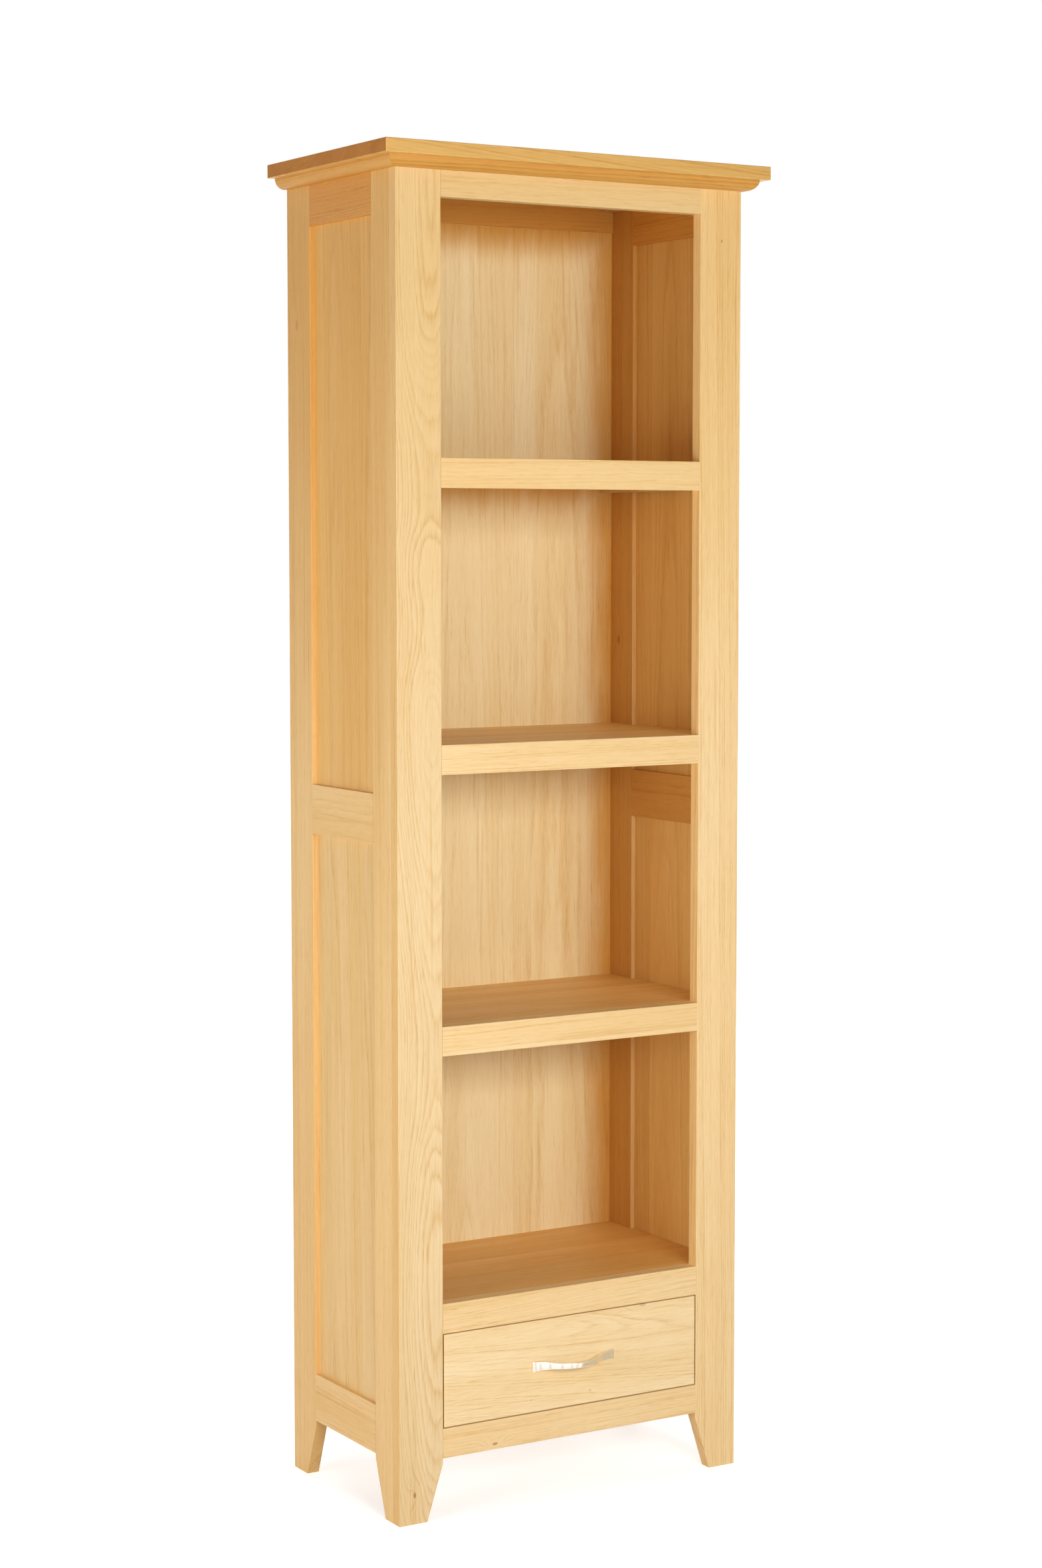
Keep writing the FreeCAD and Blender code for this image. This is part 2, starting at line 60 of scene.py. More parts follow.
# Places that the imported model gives
FRONT_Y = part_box("drawer_front")[0].y
DRAWER_BACK_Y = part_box("drawer_front")[1].y
HANDLE_LOW, HANDLE_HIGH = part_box("drawer_handle")
SCREW_TIPS_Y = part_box("handle_screws")[0].y
TOP_SCREW_LOW, TOP_SCREW_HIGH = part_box("top_screws")
PANEL_LOW, PANEL_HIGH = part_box("back_panel")
HANDLE_MIDDLE_Z = (HANDLE_LOW.z + HANDLE_HIGH.z) / 2
HANDLE_HALF = (HANDLE_HIGH.x - HANDLE_LOW.x) / 2


def screen(red, green, blue):
    """A colour as it shows on screen, from 0 to 255, as the linear values that shaders use."""
    full = 255
    return Color((red / full, green / full, blue / full)).from_srgb_to_scene_linear()[:]


def colour(name, description, red, green, blue):
    """A colour property, its default given as it shows on screen."""
    return bpy.props.FloatVectorProperty(
        name=name, description=description, subtype="COLOR", size=3, min=0, max=1,
        default=screen(red, green, blue))


def length(name, description, metres):
    """A length property in metres."""
    return bpy.props.FloatProperty(
        name=name, description=description, unit="LENGTH", precision=5, min=0, default=metres)


def share(name, description, value):
    """A property from 0 to 1."""
    return bpy.props.FloatProperty(
        name=name, description=description, subtype="FACTOR", min=0, max=1, default=value)


def power(name, description, watts):
    """The power of a lamp."""
    return bpy.props.FloatProperty(
        name=name, description=description, unit="POWER", min=0, default=watts)


class OakFinish(bpy.types.PropertyGroup):
    """Colours and figure of the oak"""

    face: colour("Face frame", "Oak of the face frame", 246, 218, 168)
    side: colour("Side frames", "Oak of the side frames", 242, 205, 142)
    panel: colour("Side panels", "Oak veneer of the side panels", 246, 213, 152)
    back: colour("Back", "Oak veneer of the back", 250, 235, 191)
    top: colour("Top", "Oak of the top and the cornice", 234, 193, 116)
    shelf: colour("Shelves", "Oak of the shelves", 251, 213, 146)
    drawer: colour("Drawer front", "Oak of the drawer front", 251, 229, 186)
    box: colour("Drawer box", "Wood of the drawer's sides, back and bottom", 232, 204, 160)
    inner: colour("Inner boards", "Wood of bearers, battens and runners", 222, 188, 140)
    knot: colour("Knots", "The heart of a knot", 142, 84, 44)
    # Painted shade: a darker amber tint towards the top of high boards, where less light falls
    mellow: colour("Painted_top_shade", "Tint of the lacquer towards the top", 249, 241, 220)
    # Painted shade: a darker orange tint near the back panel's edges, where shade falls in its corners
    corner_shade_tint: colour("Pooled lacquer", "Tint of thick lacquer in a panel's corners", 232, 191, 120)
    ring_width: length("Ring width", "Usual width of one year's growth", 4.2 * MM)
    figure: share("Figure", "How strongly the year rings show", 0.76)
    bands: share("Bands", "How strongly the broad bands show", 0.6)
    streaks: share("Streaks", "How strongly the dark streaks show", 0.85)
    fibre: share("Fibre", "How strongly the fibres show", 0.23)
    pores: share("Pores", "How strongly the pores show", 0.42)
    roughness: share("Roughness", "Roughness of the satin lacquer", 0.42)
    pore_depth: length("Pore depth", "Depth of the grain under the lacquer", 0.12 * MM)


class BowHandle(bpy.types.PropertyGroup):
    """Sizes and finish of the drawer's bow handle"""

    thickness: length("Strap thickness", "Thickness of the strap", 3.5 * MM)
    waist: length("Waist", "Height of the strap in the middle", 7 * MM)
    edge: length("Edge radius", "Rounding of the strap's long edges", 0.9 * MM)
    crown: length("Crown", "How far the strap's outer face swells", 0.25 * MM)
    boss_spacing: length("Boss spacing", "Distance between the bosses", 96 * MM)
    boss_root: length("Boss root radius", "Radius of a boss on the drawer front", 5.5 * MM)
    boss_neck: length("Boss neck radius", "Radius of a boss under the strap", 4.5 * MM)
    metal: colour("Metal", "Satin nickel plate", 240, 234, 222)
    roughness: share("Roughness", "Roughness of the satin plate", 0.17)


class ScrewSizes(bpy.types.PropertyGroup):
    """Sizes and finish of the screws"""

    machine_head: length("Machine screw head", "Radius of the handle screws' heads", 4 * MM)
    machine_height: length("Machine screw head height", "Height of the handle screws' heads", 2.4 * MM)
    machine_shank: length("Machine screw radius", "Radius of the handle screws", 2 * MM)
    wood_head: length("Wood screw head", "Radius of a countersunk head", 3.5 * MM)
    wood_shank: length("Wood screw radius", "Radius of a wood screw", 1.75 * MM)
    back_head: length("Back screw head", "Radius of the heads in the back", 3.1 * MM)
    back_height: length("Back screw head height", "Height of the heads in the back", 0.85 * MM)
    back_shank: length("Back screw radius", "Radius of the back's screws", 1.5 * MM)
    back_length: length("Back screw length", "Length of the back's screws", 15 * MM)
    back_inset: length("Back screw inset", "Distance of its screws from the back's edge", 4.5 * MM)
    pitch: length("Pitch", "Pitch of the machine thread", 0.7 * MM)
    wood_pitch: length("Wood screw pitch", "Pitch of the wood thread", 1.6 * MM)
    metal: colour("Metal", "Zinc plate", 196, 199, 200)
    roughness: share("Roughness", "Roughness of the zinc plate", 0.34)


class Studio(bpy.types.PropertyGroup):
    """Camera, floor and lamps"""

    camera_place: bpy.props.FloatVectorProperty(
        name="Camera place", description="Where the camera stands", subtype="TRANSLATION",
        unit="LENGTH", default=(-2.1175, -3.5195, 1.2956))
    camera_azimuth: bpy.props.FloatProperty(
        name="Camera azimuth", description="Direction of the camera, from the front",
        subtype="ANGLE", default=math.radians(-31.054))
    camera_elevation: bpy.props.FloatProperty(
        name="Camera elevation", description="How far the camera looks down",
        subtype="ANGLE", default=math.radians(4.658))
    lens: bpy.props.FloatProperty(
        name="Lens", description="Focal length in millimetres on a 36 mm sensor", min=1, default=68.78)
    floor_size: length("Floor size", "Width and depth of the floor", 24)
    near_floor: length("Near floor", "Up to where the floor shows its shadows in full", 1.0)
    far_floor: length("Far floor", "From where on the floor is plain white", 4.0)
    floor: colour("Floor", "Pale floor", 240, 240, 240)
    floor_glow: share("Floor glow", "Light that the near floor seems to give", 0.62)
    ambient: share("Ambient", "Light of the room on the bookcase", 0.135)
    card: colour("Card", "Card on the right that the handle mirrors", 222, 206, 172)
    seam: colour("Seams", "Seams that the handle mirrors", 222, 198, 186)
    room: colour("Room", "Colour of the room's light", 255, 234, 216)
    key: power("Key lamp", "Power of the large lamp in front", 76)
    near: power("Near lamp", "Power of the nearer lamp beside the camera", 14)
    fill: power("Fill lamp", "Power of the low lamp on the left", 37)
    over: power("Overhead lamp", "Power of the lamp over the top", 20)
    rear: power("Rear lamp", "Power of the lamp behind", 42)
    side: power("Side lamp", "Power of the lamp beside the right side", 32)


class Nodes:
    """A node tree, with one short call for each kind of node that the finishes use."""

    def __init__(self, tree):
        self.tree = tree

    def add(self, kind, inputs=None, **settings):
        """Adds a node; its inputs, by name or number, take values or other nodes' sockets."""
        node = self.tree.nodes.new(kind)
        for name, value in settings.items():
            setattr(node, name, value)
        for key, value in (inputs or {}).items():
            self.give(node.inputs[key], value)
        return node

    def give(self, socket, value):
        """Gives a socket a value, or links another node's socket to it."""
        if isinstance(value, bpy.types.NodeSocket):
            self.tree.links.new(value, socket)
        else:
            socket.default_value = value

    def group(self, name, inputs):
        """The outputs of one of the shared node groups."""
        return self.add("ShaderNodeGroup", inputs, node_tree=bpy.data.node_groups[name]).outputs

    def math(self, operation, *values):
        """A Math node's result."""
        return self.add("ShaderNodeMath", dict(enumerate(values)), operation=operation).outputs[0]

    def vector(self, operation, *values):
        """A Vector Math node's result, a number for a length or a dot product."""
        node = self.add("ShaderNodeVectorMath", dict(enumerate(values)), operation=operation)
        return node.outputs["Value" if operation in ("LENGTH", "DOT_PRODUCT") else "Vector"]

    def parts(self, vector):
        """The X, Y and Z of a vector."""
        return self.add("ShaderNodeSeparateXYZ", {"Vector": vector}).outputs

    def facing(self, where, direction):
        """How far the surface looks along a direction, from -1 to 1."""
        return self.vector("DOT_PRODUCT", where["Normal"], direction)

    def noise(self, place, cells, detail=2.0, roughness=0.5, output="Fac"):
        """Noise with so many cells a metre along X, Y and Z."""
        place = self.vector("MULTIPLY", place, cells)
        inputs = {"Vector": place, "Scale": 1.0, "Detail": detail, "Roughness": roughness}
        return self.add("ShaderNodeTexNoise", inputs).outputs[output]

    def marks(self, place, kind):
        """One kind of marks in the wood: noise that fades in between two of its levels."""
        level = self.noise(place, kind.cells, kind.detail, kind.roughness)
        return self.fade(level, kind.low, kind.high)

    def line_noise(self, value, cells):
        """Noise along one number, with so many cells a unit."""
        inputs = {"W": value, "Scale": cells, "Detail": 1.0}
        return self.add("ShaderNodeTexNoise", inputs, noise_dimensions="1D").outputs["Fac"]

    def fade(self, value, low, high, first=0.0, last=1.0):
        """Goes smoothly from first to last while the value goes from low to high."""
        inputs = {"Value": value, "From Min": low, "From Max": high, "To Min": first, "To Max": last}
        return self.add("ShaderNodeMapRange", inputs, interpolation_type="SMOOTHSTEP").outputs["Result"]

    def mix(self, factor, first, second, blend="MIX"):
        """Mixes two colours."""
        inputs = {0: factor, 6: first, 7: second}
        return self.add("ShaderNodeMix", inputs, data_type="RGBA", blend_type=blend).outputs[2]

    def tinted(self, factor, tone, tint):
        """Lays a clear tint over a tone."""
        return self.mix(factor, tone, (*tint, 1), "MULTIPLY")

    def ramp(self, value, stops):
        """A grey ramp through (place, level) stops."""
        node = self.add("ShaderNodeValToRGB", {"Fac": value})
        elements = node.color_ramp.elements
        while len(elements) < len(stops):
            elements.new(1.0)
        for element, (place, level) in zip(elements, stops):
            element.position = place
            element.color = (level, level, level, 1)
        return node.outputs["Color"]

    def curve(self, value, points):
        """A smooth curve through (share, level) points, with levels up to a tenth of a metre."""
        most = 0.1
        node = self.add("ShaderNodeFloatCurve", {"Value": value})
        line = node.mapping.curves[0].points
        for place, level in points[1:-1]:
            line.new(place, level / most)
        for point, (place, level) in zip((line[0], line[-1]), (points[0], points[-1])):
            point.location = (place, level / most)
        node.mapping.update()
        return self.math("MULTIPLY", node.outputs[0], most)


def new_group(name, inputs, outputs):
    """An empty node group, and the sockets inside it to read from and to write to."""
    tree = bpy.data.node_groups.new(name, "ShaderNodeTree")
    for way, sockets in (("INPUT", inputs), ("OUTPUT", outputs)):
        for socket, kind in sockets.items():
            tree.interface.new_socket(name=socket, in_out=way, socket_type="NodeSocket" + kind)
    nodes = Nodes(tree)
    return nodes, nodes.add("NodeGroupInput").outputs, nodes.add("NodeGroupOutput").inputs


def new_material(name):
    """A new material, its nodes and its shader's inputs."""
    material = bpy.data.materials.new(name)
    material.use_nodes = True
    shader = material.node_tree.nodes["Principled BSDF"]
    return material, Nodes(material.node_tree), shader.inputs


def cleared(owner):
    """The node tree of a material or a world, with its nodes taken out."""
    owner.use_nodes = True
    owner.node_tree.nodes.clear()
    return Nodes(owner.node_tree)


def new_object(name, data):
    """A new object in the scene, at the origin."""
    made = bpy.data.objects.new(name, data)
    bpy.context.scene.collection.objects.link(made)
    return made


def new_mesh(name, points, faces, material):
    """A new mesh of one material."""
    mesh = bpy.data.meshes.new(name)
    mesh.from_pydata(points, [], faces)
    mesh.materials.append(material)
    return mesh


# Marks in the wood: cells of their noise a metre, across the grain both ways and along it, its
# detail and roughness, and the levels at which they start to show and show in full
Marks = namedtuple("Marks", "cells detail roughness low high")
BANDS = Marks((24, 24, 0.7), 3.0, 0.5, 0.36, 0.64)
CLOUDS = Marks((11, 11, 2.2), 2.0, 0.5, 0.3, 0.7)
FIBRES = Marks((620, 620, 38), 2.0, 0.6, 0.3, 0.7)
SHORT_STREAKS = Marks((330, 330, 22), 3.0, 0.6, 0.57, 0.78)
LONG_STREAKS = Marks((170, 170, 2.5), 3.0, 0.6, 0.56, 0.74)

# Cells a metre of the other noises, across the grain both ways and along it
DRIFT_CELLS = (7, 7, 1.2)
RAGGED_CELLS = (90, 90, 9)
PATCH_CELLS = (24, 24, 5)
PORE_CELLS = (1500, 1500, 55)
KNOT_CELLS = (260, 260, 120)
CORNER_SHADE_CELLS = (60, 60, 9)

# Cells a metre of the noise that runs outwards from the heart, and changes from year to year
RING_WIDTH_CELLS = 70
RING_STRENGTH_CELLS = 90

# How dark one ring is, from its porous start to the next ring, and how many more pores it has
RING_PORES = 0.12
RING_STOPS = ((0.0, 0.35), (0.12, 1.0), (0.34, 0.45), (0.65, 0.12), (0.9, 0.0), (1.0, 0.35))

# How far a step of the seed moves a board through the log, and how far off its patches lie
SEED_STEP = (1.7, 2.3, 9.1)
PATCH_SHIFT = (4.0, 0, 0)

# How far slow noise moves the heart, and bends the streaks, to each side
HEART_DRIFT = (16 * MM, 16 * MM, 0)
STREAK_DRIFT = (30 * MM, 30 * MM, 0)

# Tints, as shares of red, green and blue
CLOUD_TINT = (0.97, 0.94, 0.88)
BAND_TINT = (0.93, 0.86, 0.72)
MARK_TINT = (0.86, 0.74, 0.55)
END_TINT = (0.66, 0.42, 0.19)
STAVE_TINT = (0.9, 0.86, 0.8)
GLUE_TINT = (0.5, 0.38, 0.26)


def heart_distance(nodes, given, drift):
    """The distance from the heart, with the log's lean, bow and drift."""
    place = given["Place"]
    from_heart = nodes.vector("MULTIPLY_ADD", drift, HEART_DRIFT, given["Heart"])
    from_heart = nodes.vector("ADD", from_heart, place)
    from_heart = nodes.vector("MULTIPLY_ADD", given["Lean"], nodes.parts(place)["Z"], from_heart)
    bow = nodes.add("ShaderNodeCombineXYZ", {"Y": given["Bow"]}).outputs[0]
    from_heart = nodes.vector("ADD", from_heart, bow)
    distance = nodes.vector("LENGTH", nodes.vector("MULTIPLY", from_heart, (1, 1, 0)))
    return nodes.math("ADD", distance, given["Swell"])


def year_rings(nodes, given, seeded, distance, patch, fibre):
    """Year rings of uneven width and strength, their lines broken up by the fibres."""
    uneven_years, ragged_years, elsewhere = 3.0, 0.9, 3.0
    weakest, between_fibres, on_fibres = 0.2, 0.7, 0.4
    years = nodes.math("DIVIDE", distance, given["Ring width"])
    seeded_distance = nodes.math("ADD", distance, given["Seed"])
    uneven = nodes.line_noise(seeded_distance, RING_WIDTH_CELLS)
    years = nodes.math("MULTIPLY_ADD", uneven, uneven_years, years)
    ragged = nodes.noise(seeded, RAGGED_CELLS)
    years = nodes.math("MULTIPLY_ADD", ragged, ragged_years, years)
    ring = nodes.ramp(nodes.math("FRACT", years), RING_STOPS)
    strength = nodes.math("ADD", seeded_distance, elsewhere)
    strength = nodes.fade(nodes.line_noise(strength, RING_STRENGTH_CELLS), 0.38, 0.66)
    strength = nodes.math("MULTIPLY", strength, nodes.fade(patch, 0.3, 0.55, 0.3))
    strength = nodes.math("MULTIPLY_ADD", strength, 1 - weakest, weakest)
    broken = nodes.math("MULTIPLY_ADD", fibre, on_fibres, between_fibres)
    ring = nodes.math("MULTIPLY", nodes.math("MULTIPLY", ring, strength), broken)
    return nodes.math("MULTIPLY", ring, given["Figure"])


def dark_streaks(nodes, bent, patch):
    """Short streaks that come in patches, and long ones, less dark, between them."""
    long_share = 0.7
    in_patch = nodes.fade(patch, 0.35, 0.65, 0.25)
    short = nodes.math("MULTIPLY", nodes.marks(bent, SHORT_STREAKS), in_patch)
    long = nodes.math("MULTIPLY", nodes.marks(bent, LONG_STREAKS), long_share)
    return nodes.math("MAXIMUM", short, long)


def grain_group(oak):
    """Node group: oak at one place of its log.

    Place is measured from the board's middle: x across its face, y through it, z along the
    grain. Heart is where that middle lies from the log's heart. The year rings are circles
    about the heart, which leans along the log, drifts by slow noise, and lies deeper by Bow
    where the log is crooked. Each ring is a porous dark line that fades into paler wood.
    """
    inputs = {
        "Place": "Vector", "Heart": "Vector", "Lean": "Vector", "Bow": "Float", "Seed": "Float",
        "End": "Float", "Swell": "Float", "Knot": "Float", "Tone": "Color", "Ring width": "Float",
        "Figure": "Float",
    }
    nodes, given, made = new_group(
        "oak grain", inputs, {"Colour": "Color", "Roughness": "Float", "Height": "Float"})
    seeded = nodes.vector("MULTIPLY_ADD", SEED_STEP, given["Seed"], given["Place"])
    drift = nodes.noise(seeded, DRIFT_CELLS, 1.0, output="Color")
    drift = nodes.vector("SUBTRACT", drift, (0.5, 0.5, 0.5))
    patch = nodes.noise(nodes.vector("ADD", seeded, PATCH_SHIFT), PATCH_CELLS)
    fibre = nodes.marks(seeded, FIBRES)
    ring = year_rings(nodes, given, seeded, heart_distance(nodes, given, drift), patch, fibre)
    band = nodes.marks(seeded, BANDS)
    streak = dark_streaks(nodes, nodes.vector("MULTIPLY_ADD", drift, STREAK_DRIFT, seeded), patch)
    pores = nodes.noise(seeded, PORE_CELLS, 1.0)
    pores = nodes.fade(nodes.math("MULTIPLY_ADD", ring, RING_PORES, pores), 0.6, 0.74)

    tone = nodes.tinted(nodes.marks(seeded, CLOUDS), given["Tone"], CLOUD_TINT)
    tone = nodes.tinted(nodes.math("MULTIPLY", band, oak.bands), tone, BAND_TINT)
    shares = ((streak, oak.streaks), (fibre, oak.fibre), (ring, oak.figure), (pores, oak.pores))
    for mask, most in shares:
        tone = nodes.tinted(nodes.math("MULTIPLY", mask, most), tone, MARK_TINT)
    tone = nodes.mix(given["Knot"], tone, (*oak.knot, 1))
    nodes.give(made["Colour"], nodes.tinted(given["End"], tone, END_TINT))

    rough = oak.roughness
    for mask, duller in ((band, 0.05), (pores, 0.14), (given["End"], 0.15)):
        rough = nodes.math("MULTIPLY_ADD", mask, duller, rough)
    nodes.give(made["Roughness"], rough)
    height = 0.0
    for mask, groove in ((fibre, 0.2), (ring, 0.3), (pores, 0.5)):
        height = nodes.math("MULTIPLY_ADD", mask, -groove, height)
    nodes.give(made["Height"], height)


def stave_group():
    """Node group: staves or veneer leaves side by side, each from another part of the log.

    The board is cut into strips of equal width across its face. Each strip keeps its own
    middle as x zero, and is shifted through and along the log by its own random step.
    """
    nodes, given, made = new_group(
        "staves", {"Place": "Vector", "Width": "Float", "Seed": "Float", "Tone": "Color"},
        {"Place": "Vector", "Tone": "Color"})
    longest_step = (0.05, 0.04, 5.0)
    seed_spread = 17.0
    most_tint, glue_shows = 0.8, 0.14
    parts = nodes.parts(given["Place"])
    count = nodes.math("DIVIDE", parts["X"], given["Width"])
    index = nodes.math("FLOOR", nodes.math("ADD", count, 0.5))
    inner = nodes.math("SUBTRACT", count, index)
    x = nodes.math("MULTIPLY", inner, given["Width"])
    key = nodes.math("MULTIPLY_ADD", given["Seed"], seed_spread, index)
    chance = nodes.add("ShaderNodeTexWhiteNoise", {"W": key}, noise_dimensions="1D").outputs
    flat = nodes.add("ShaderNodeCombineXYZ", {"X": x, "Y": parts["Y"], "Z": parts["Z"]}).outputs[0]
    nodes.give(made["Place"], nodes.vector("MULTIPLY_ADD", chance["Color"], longest_step, flat))
    tint = nodes.math("MULTIPLY", chance["Value"], most_tint)
    glue = nodes.fade(nodes.math("ABSOLUTE", inner), 0.494, 0.4985)
    glue = nodes.math("MULTIPLY", glue, glue_shows)
    tone = nodes.tinted(tint, given["Tone"], STAVE_TINT)
    nodes.give(made["Tone"], nodes.tinted(glue, tone, GLUE_TINT))


def knot_group():
    """Node group: a knot, longer along the grain, that swells the rings about it."""
    nodes, given, made = new_group(
        "knot", {"Place": "Vector", "Centre": "Vector", "Size": "Float", "Depth": "Float",
                 "Swell": "Float", "Knot": "Float"},
        {"Swell": "Float", "Knot": "Float"})
    squeeze = (1, 0.4, 0.5)
    rim, heart, ragged = 1.15, 0.55, 0.5
    swell_height, swell_fall = 2.2, 0.12
    away = nodes.vector("SUBTRACT", given["Place"], given["Centre"])
    away = nodes.vector("LENGTH", nodes.vector("MULTIPLY", away, squeeze))
    away = nodes.math("DIVIDE", away, given["Size"])
    edge = nodes.math("MULTIPLY_ADD", nodes.noise(given["Place"], KNOT_CELLS), ragged, away)
    core = nodes.math("MULTIPLY", nodes.fade(edge, rim, heart), given["Depth"])
    fall = nodes.math("MULTIPLY", nodes.math("MULTIPLY", away, away), -swell_fall)
    swell = nodes.math("MULTIPLY", nodes.math("EXPONENT", fall), given["Size"])
    swell = nodes.math("MULTIPLY", swell, swell_height)
    nodes.give(made["Swell"], nodes.math("ADD", swell, given["Swell"]))
    nodes.give(made["Knot"], nodes.math("MAXIMUM", core, given["Knot"]))


# How a board is cut: the axes of its grain and of its face, where its middle lies from the
# log's heart (across the face, through the board), how far the heart leans for each metre, how
# much deeper it lies along the board as (share of length, depth) points, the strength of the
# figure, the width of the rings against the usual, how deep and how light the colour is against
# its family's, the width of staves or leaves (zero for one board), whether its faces along X
# have the side frames' colour, how strongly painted shade darkens it towards the top, how far
# painted shade reaches from the back panel's edges, and the depth and shade of the face that
# looks into the bookcase, deeper and darker as painted shade.
Cut = namedtuple(
    "Cut", "grain face heart lean bow figure rings depth shade stave side_edges mellow pool inside",
    defaults=((0.08, 0.07), (0.004, 0.01), (), 1.0, 1.0, 1.0, 1.0, 0.0, False, 1.0, 0.0, ()))

STILE = Cut("Z", "Y")
RAIL = Cut("X", "Y")
SIDE_STILE = Cut("Z", "X")
SIDE_RAIL = Cut("Y", "X")
WIDE_BOARD = Cut("X", "Z", heart=(0.01, 0.05), lean=(0.004, 0.02), stave=0.067, mellow=0.0)
RUNNER = Cut("Y", "Z")

# The left front stile comes from a crooked log: its arcs point down over the top third, close
# into long ovals above the middle, and open out again towards the foot
STILE_BOW = (
    (0.0, 85 * MM), (0.08, 72 * MM), (0.17, 66 * MM), (0.25, 70 * MM), (0.34, 80 * MM),
    (0.45, 72 * MM), (0.54, 60 * MM), (0.595, 56 * MM), (0.665, 65 * MM), (0.71, 62 * MM),
    (0.75, 67 * MM), (0.89, 48 * MM), (0.92, 46 * MM), (1.0, 46 * MM),
)

FACE_FRAME = {
    "front_stile_left": STILE._replace(
        heart=(-0.02, 0.0), lean=(0.004, 0), figure=1.5, rings=0.62, bow=STILE_BOW,
        depth=0.8, shade=0.94, side_edges=True),
    "front_stile_right": STILE._replace(heart=(0.1, 0.05), side_edges=True),
    "header_rail": RAIL._replace(figure=0.6, depth=0.93, shade=0.91),
    "shelf_rail_upper": RAIL._replace(heart=(0.06, 0.08)),
    "shelf_rail_middle": RAIL._replace(heart=(-0.07, 0.06)),
    "shelf_rail_lower": RAIL._replace(heart=(0.1, 0.08)),
    "drawer_rail": RAIL._replace(heart=(0.07, 0.06), lean=(0.03, 0.01)),
    "bottom_rail": RAIL._replace(heart=(-0.06, 0.08)),
}
SIDE_FRAMES = {
    "side_front_stile": SIDE_STILE,
    "side_rear_stile": SIDE_STILE._replace(heart=(-0.09, 0.05), mellow=2.7, inside=(1.7, 0.85)),
    # Its deeper tone is painted shade under the cornice
    "side_top_rail": SIDE_RAIL._replace(depth=1.65, shade=0.97, figure=1.3, mellow=1.9),
    "side_mid_rail": SIDE_RAIL._replace(heart=(0.02, 0.07), inside=(1.8, 0.9)),
    "side_bottom_rail": SIDE_RAIL._replace(heart=(-0.05, 0.06)),
}
SIDE_PANELS = {
    # Its deeper tone is painted shade towards the top of the side
    "side_upper_panel": SIDE_STILE._replace(
        heart=(0.0, 0.05), lean=(0.003, 0.012), depth=1.35, stave=0.095),
    "side_lower_panel": SIDE_STILE._replace(
        heart=(0.01, 0.06), lean=(0.003, 0.015), stave=0.095, inside=(1.35, 1.0)),
}
TOP = {
    "top_board": WIDE_BOARD._replace(heart=(0.02, 0.04), lean=(0.01, 0.08), stave=0.085, figure=1.3),
    # Their deeper, darker tones are painted shade under the top's overhang
    "cornice_front": RAIL._replace(heart=(0.04, 0.03), depth=1.2, shade=0.85, figure=2.2),
    "cornice": SIDE_RAIL._replace(heart=(0.04, 0.03), depth=1.3, shade=0.92, figure=2.0),
}
BACK = {
    "back_panel": STILE._replace(
        heart=(-0.02, 0.06), lean=(0.002, 0.012), figure=0.8, stave=0.17, mellow=0.0, pool=0.07),
}
SHELVES = {
    # Its deeper, darker tone is painted shade under the header rail
    "back_top_rail": RAIL._replace(depth=1.6, shade=0.78),
    "shelf_upper": WIDE_BOARD,
    # Its paler tone is painted light: the sheen the shelf catches at a grazing angle
    "shelf_middle": WIDE_BOARD._replace(depth=0.8),
    "shelf_lower": WIDE_BOARD,
    "drawer_cover_board": WIDE_BOARD._replace(depth=1.25, shade=0.95),
}
DRAWER_FRONT = {
    "drawer_front": RAIL._replace(heart=(0.045, 0.05), lean=(-0.12, 0.03), figure=1.1),
}
DRAWER_BOX = {
    "drawer_side": SIDE_RAIL,
    "drawer_back": RAIL,
    "drawer_bottom": Cut("X", "Z", figure=0.7),
}
INNER_BOARDS = {
    "back_bottom_rail": RAIL,
    "shelf_bearer_upper": RUNNER,
    "shelf_bearer_middle": RUNNER,
    "shelf_bearer_lower": RUNNER,
    "top_batten": RUNNER,
    "drawer_runner": RUNNER,
    "drawer_guide": RUNNER,
    "drawer_kicker": RUNNER,
    "drawer_stop": STILE,
}

# Knots: board, place, size, how dark
KNOTS = (
    ("front_stile_left", (-0.2454, FRONT_Y, 0.0393), 3.0 * MM, 0.7),
    ("front_stile_left", (-0.2008, FRONT_Y, 0.1255), 2.0 * MM, 0.6),
    ("bottom_rail", (-0.1222, FRONT_Y, 0.0896), 3.2 * MM, 0.65),
    ("drawer_front", (0.1136, FRONT_Y, 0.2484), 4.5 * MM, 0.3),
    ("drawer_front", (0.0283, FRONT_Y, 0.1408), 1.2 * MM, 0.6),
    ("drawer_front", (-0.0655, FRONT_Y, 0.1405), 1.0 * MM, 0.6),
    ("front_stile_right", (0.2362, FRONT_Y, 1.6994), 1.8 * MM, 0.6),
    ("side_rear_stile_right", (0.25, 0.137, 1.151), 5.0 * MM, 0.6),
    ("side_rear_stile_left", (-0.268, 0.14, 1.585), 5.5 * MM, 0.3),
)

AXES = {"X": Vector((1, 0, 0)), "Y": Vector((0, 1, 0)), "Z": Vector((0, 0, 1))}

# The share of a face's direction over which an end or an edge takes its own tone
TURNED = (0.6, 0.9)

# Boards that reach this high get painted shade, darker and more amber towards the top, between these
# two heights
TOP_SHADE_REACH = 1.0
TOP_SHADE_LOW, TOP_SHADE_HIGH = 0.8, 1.75


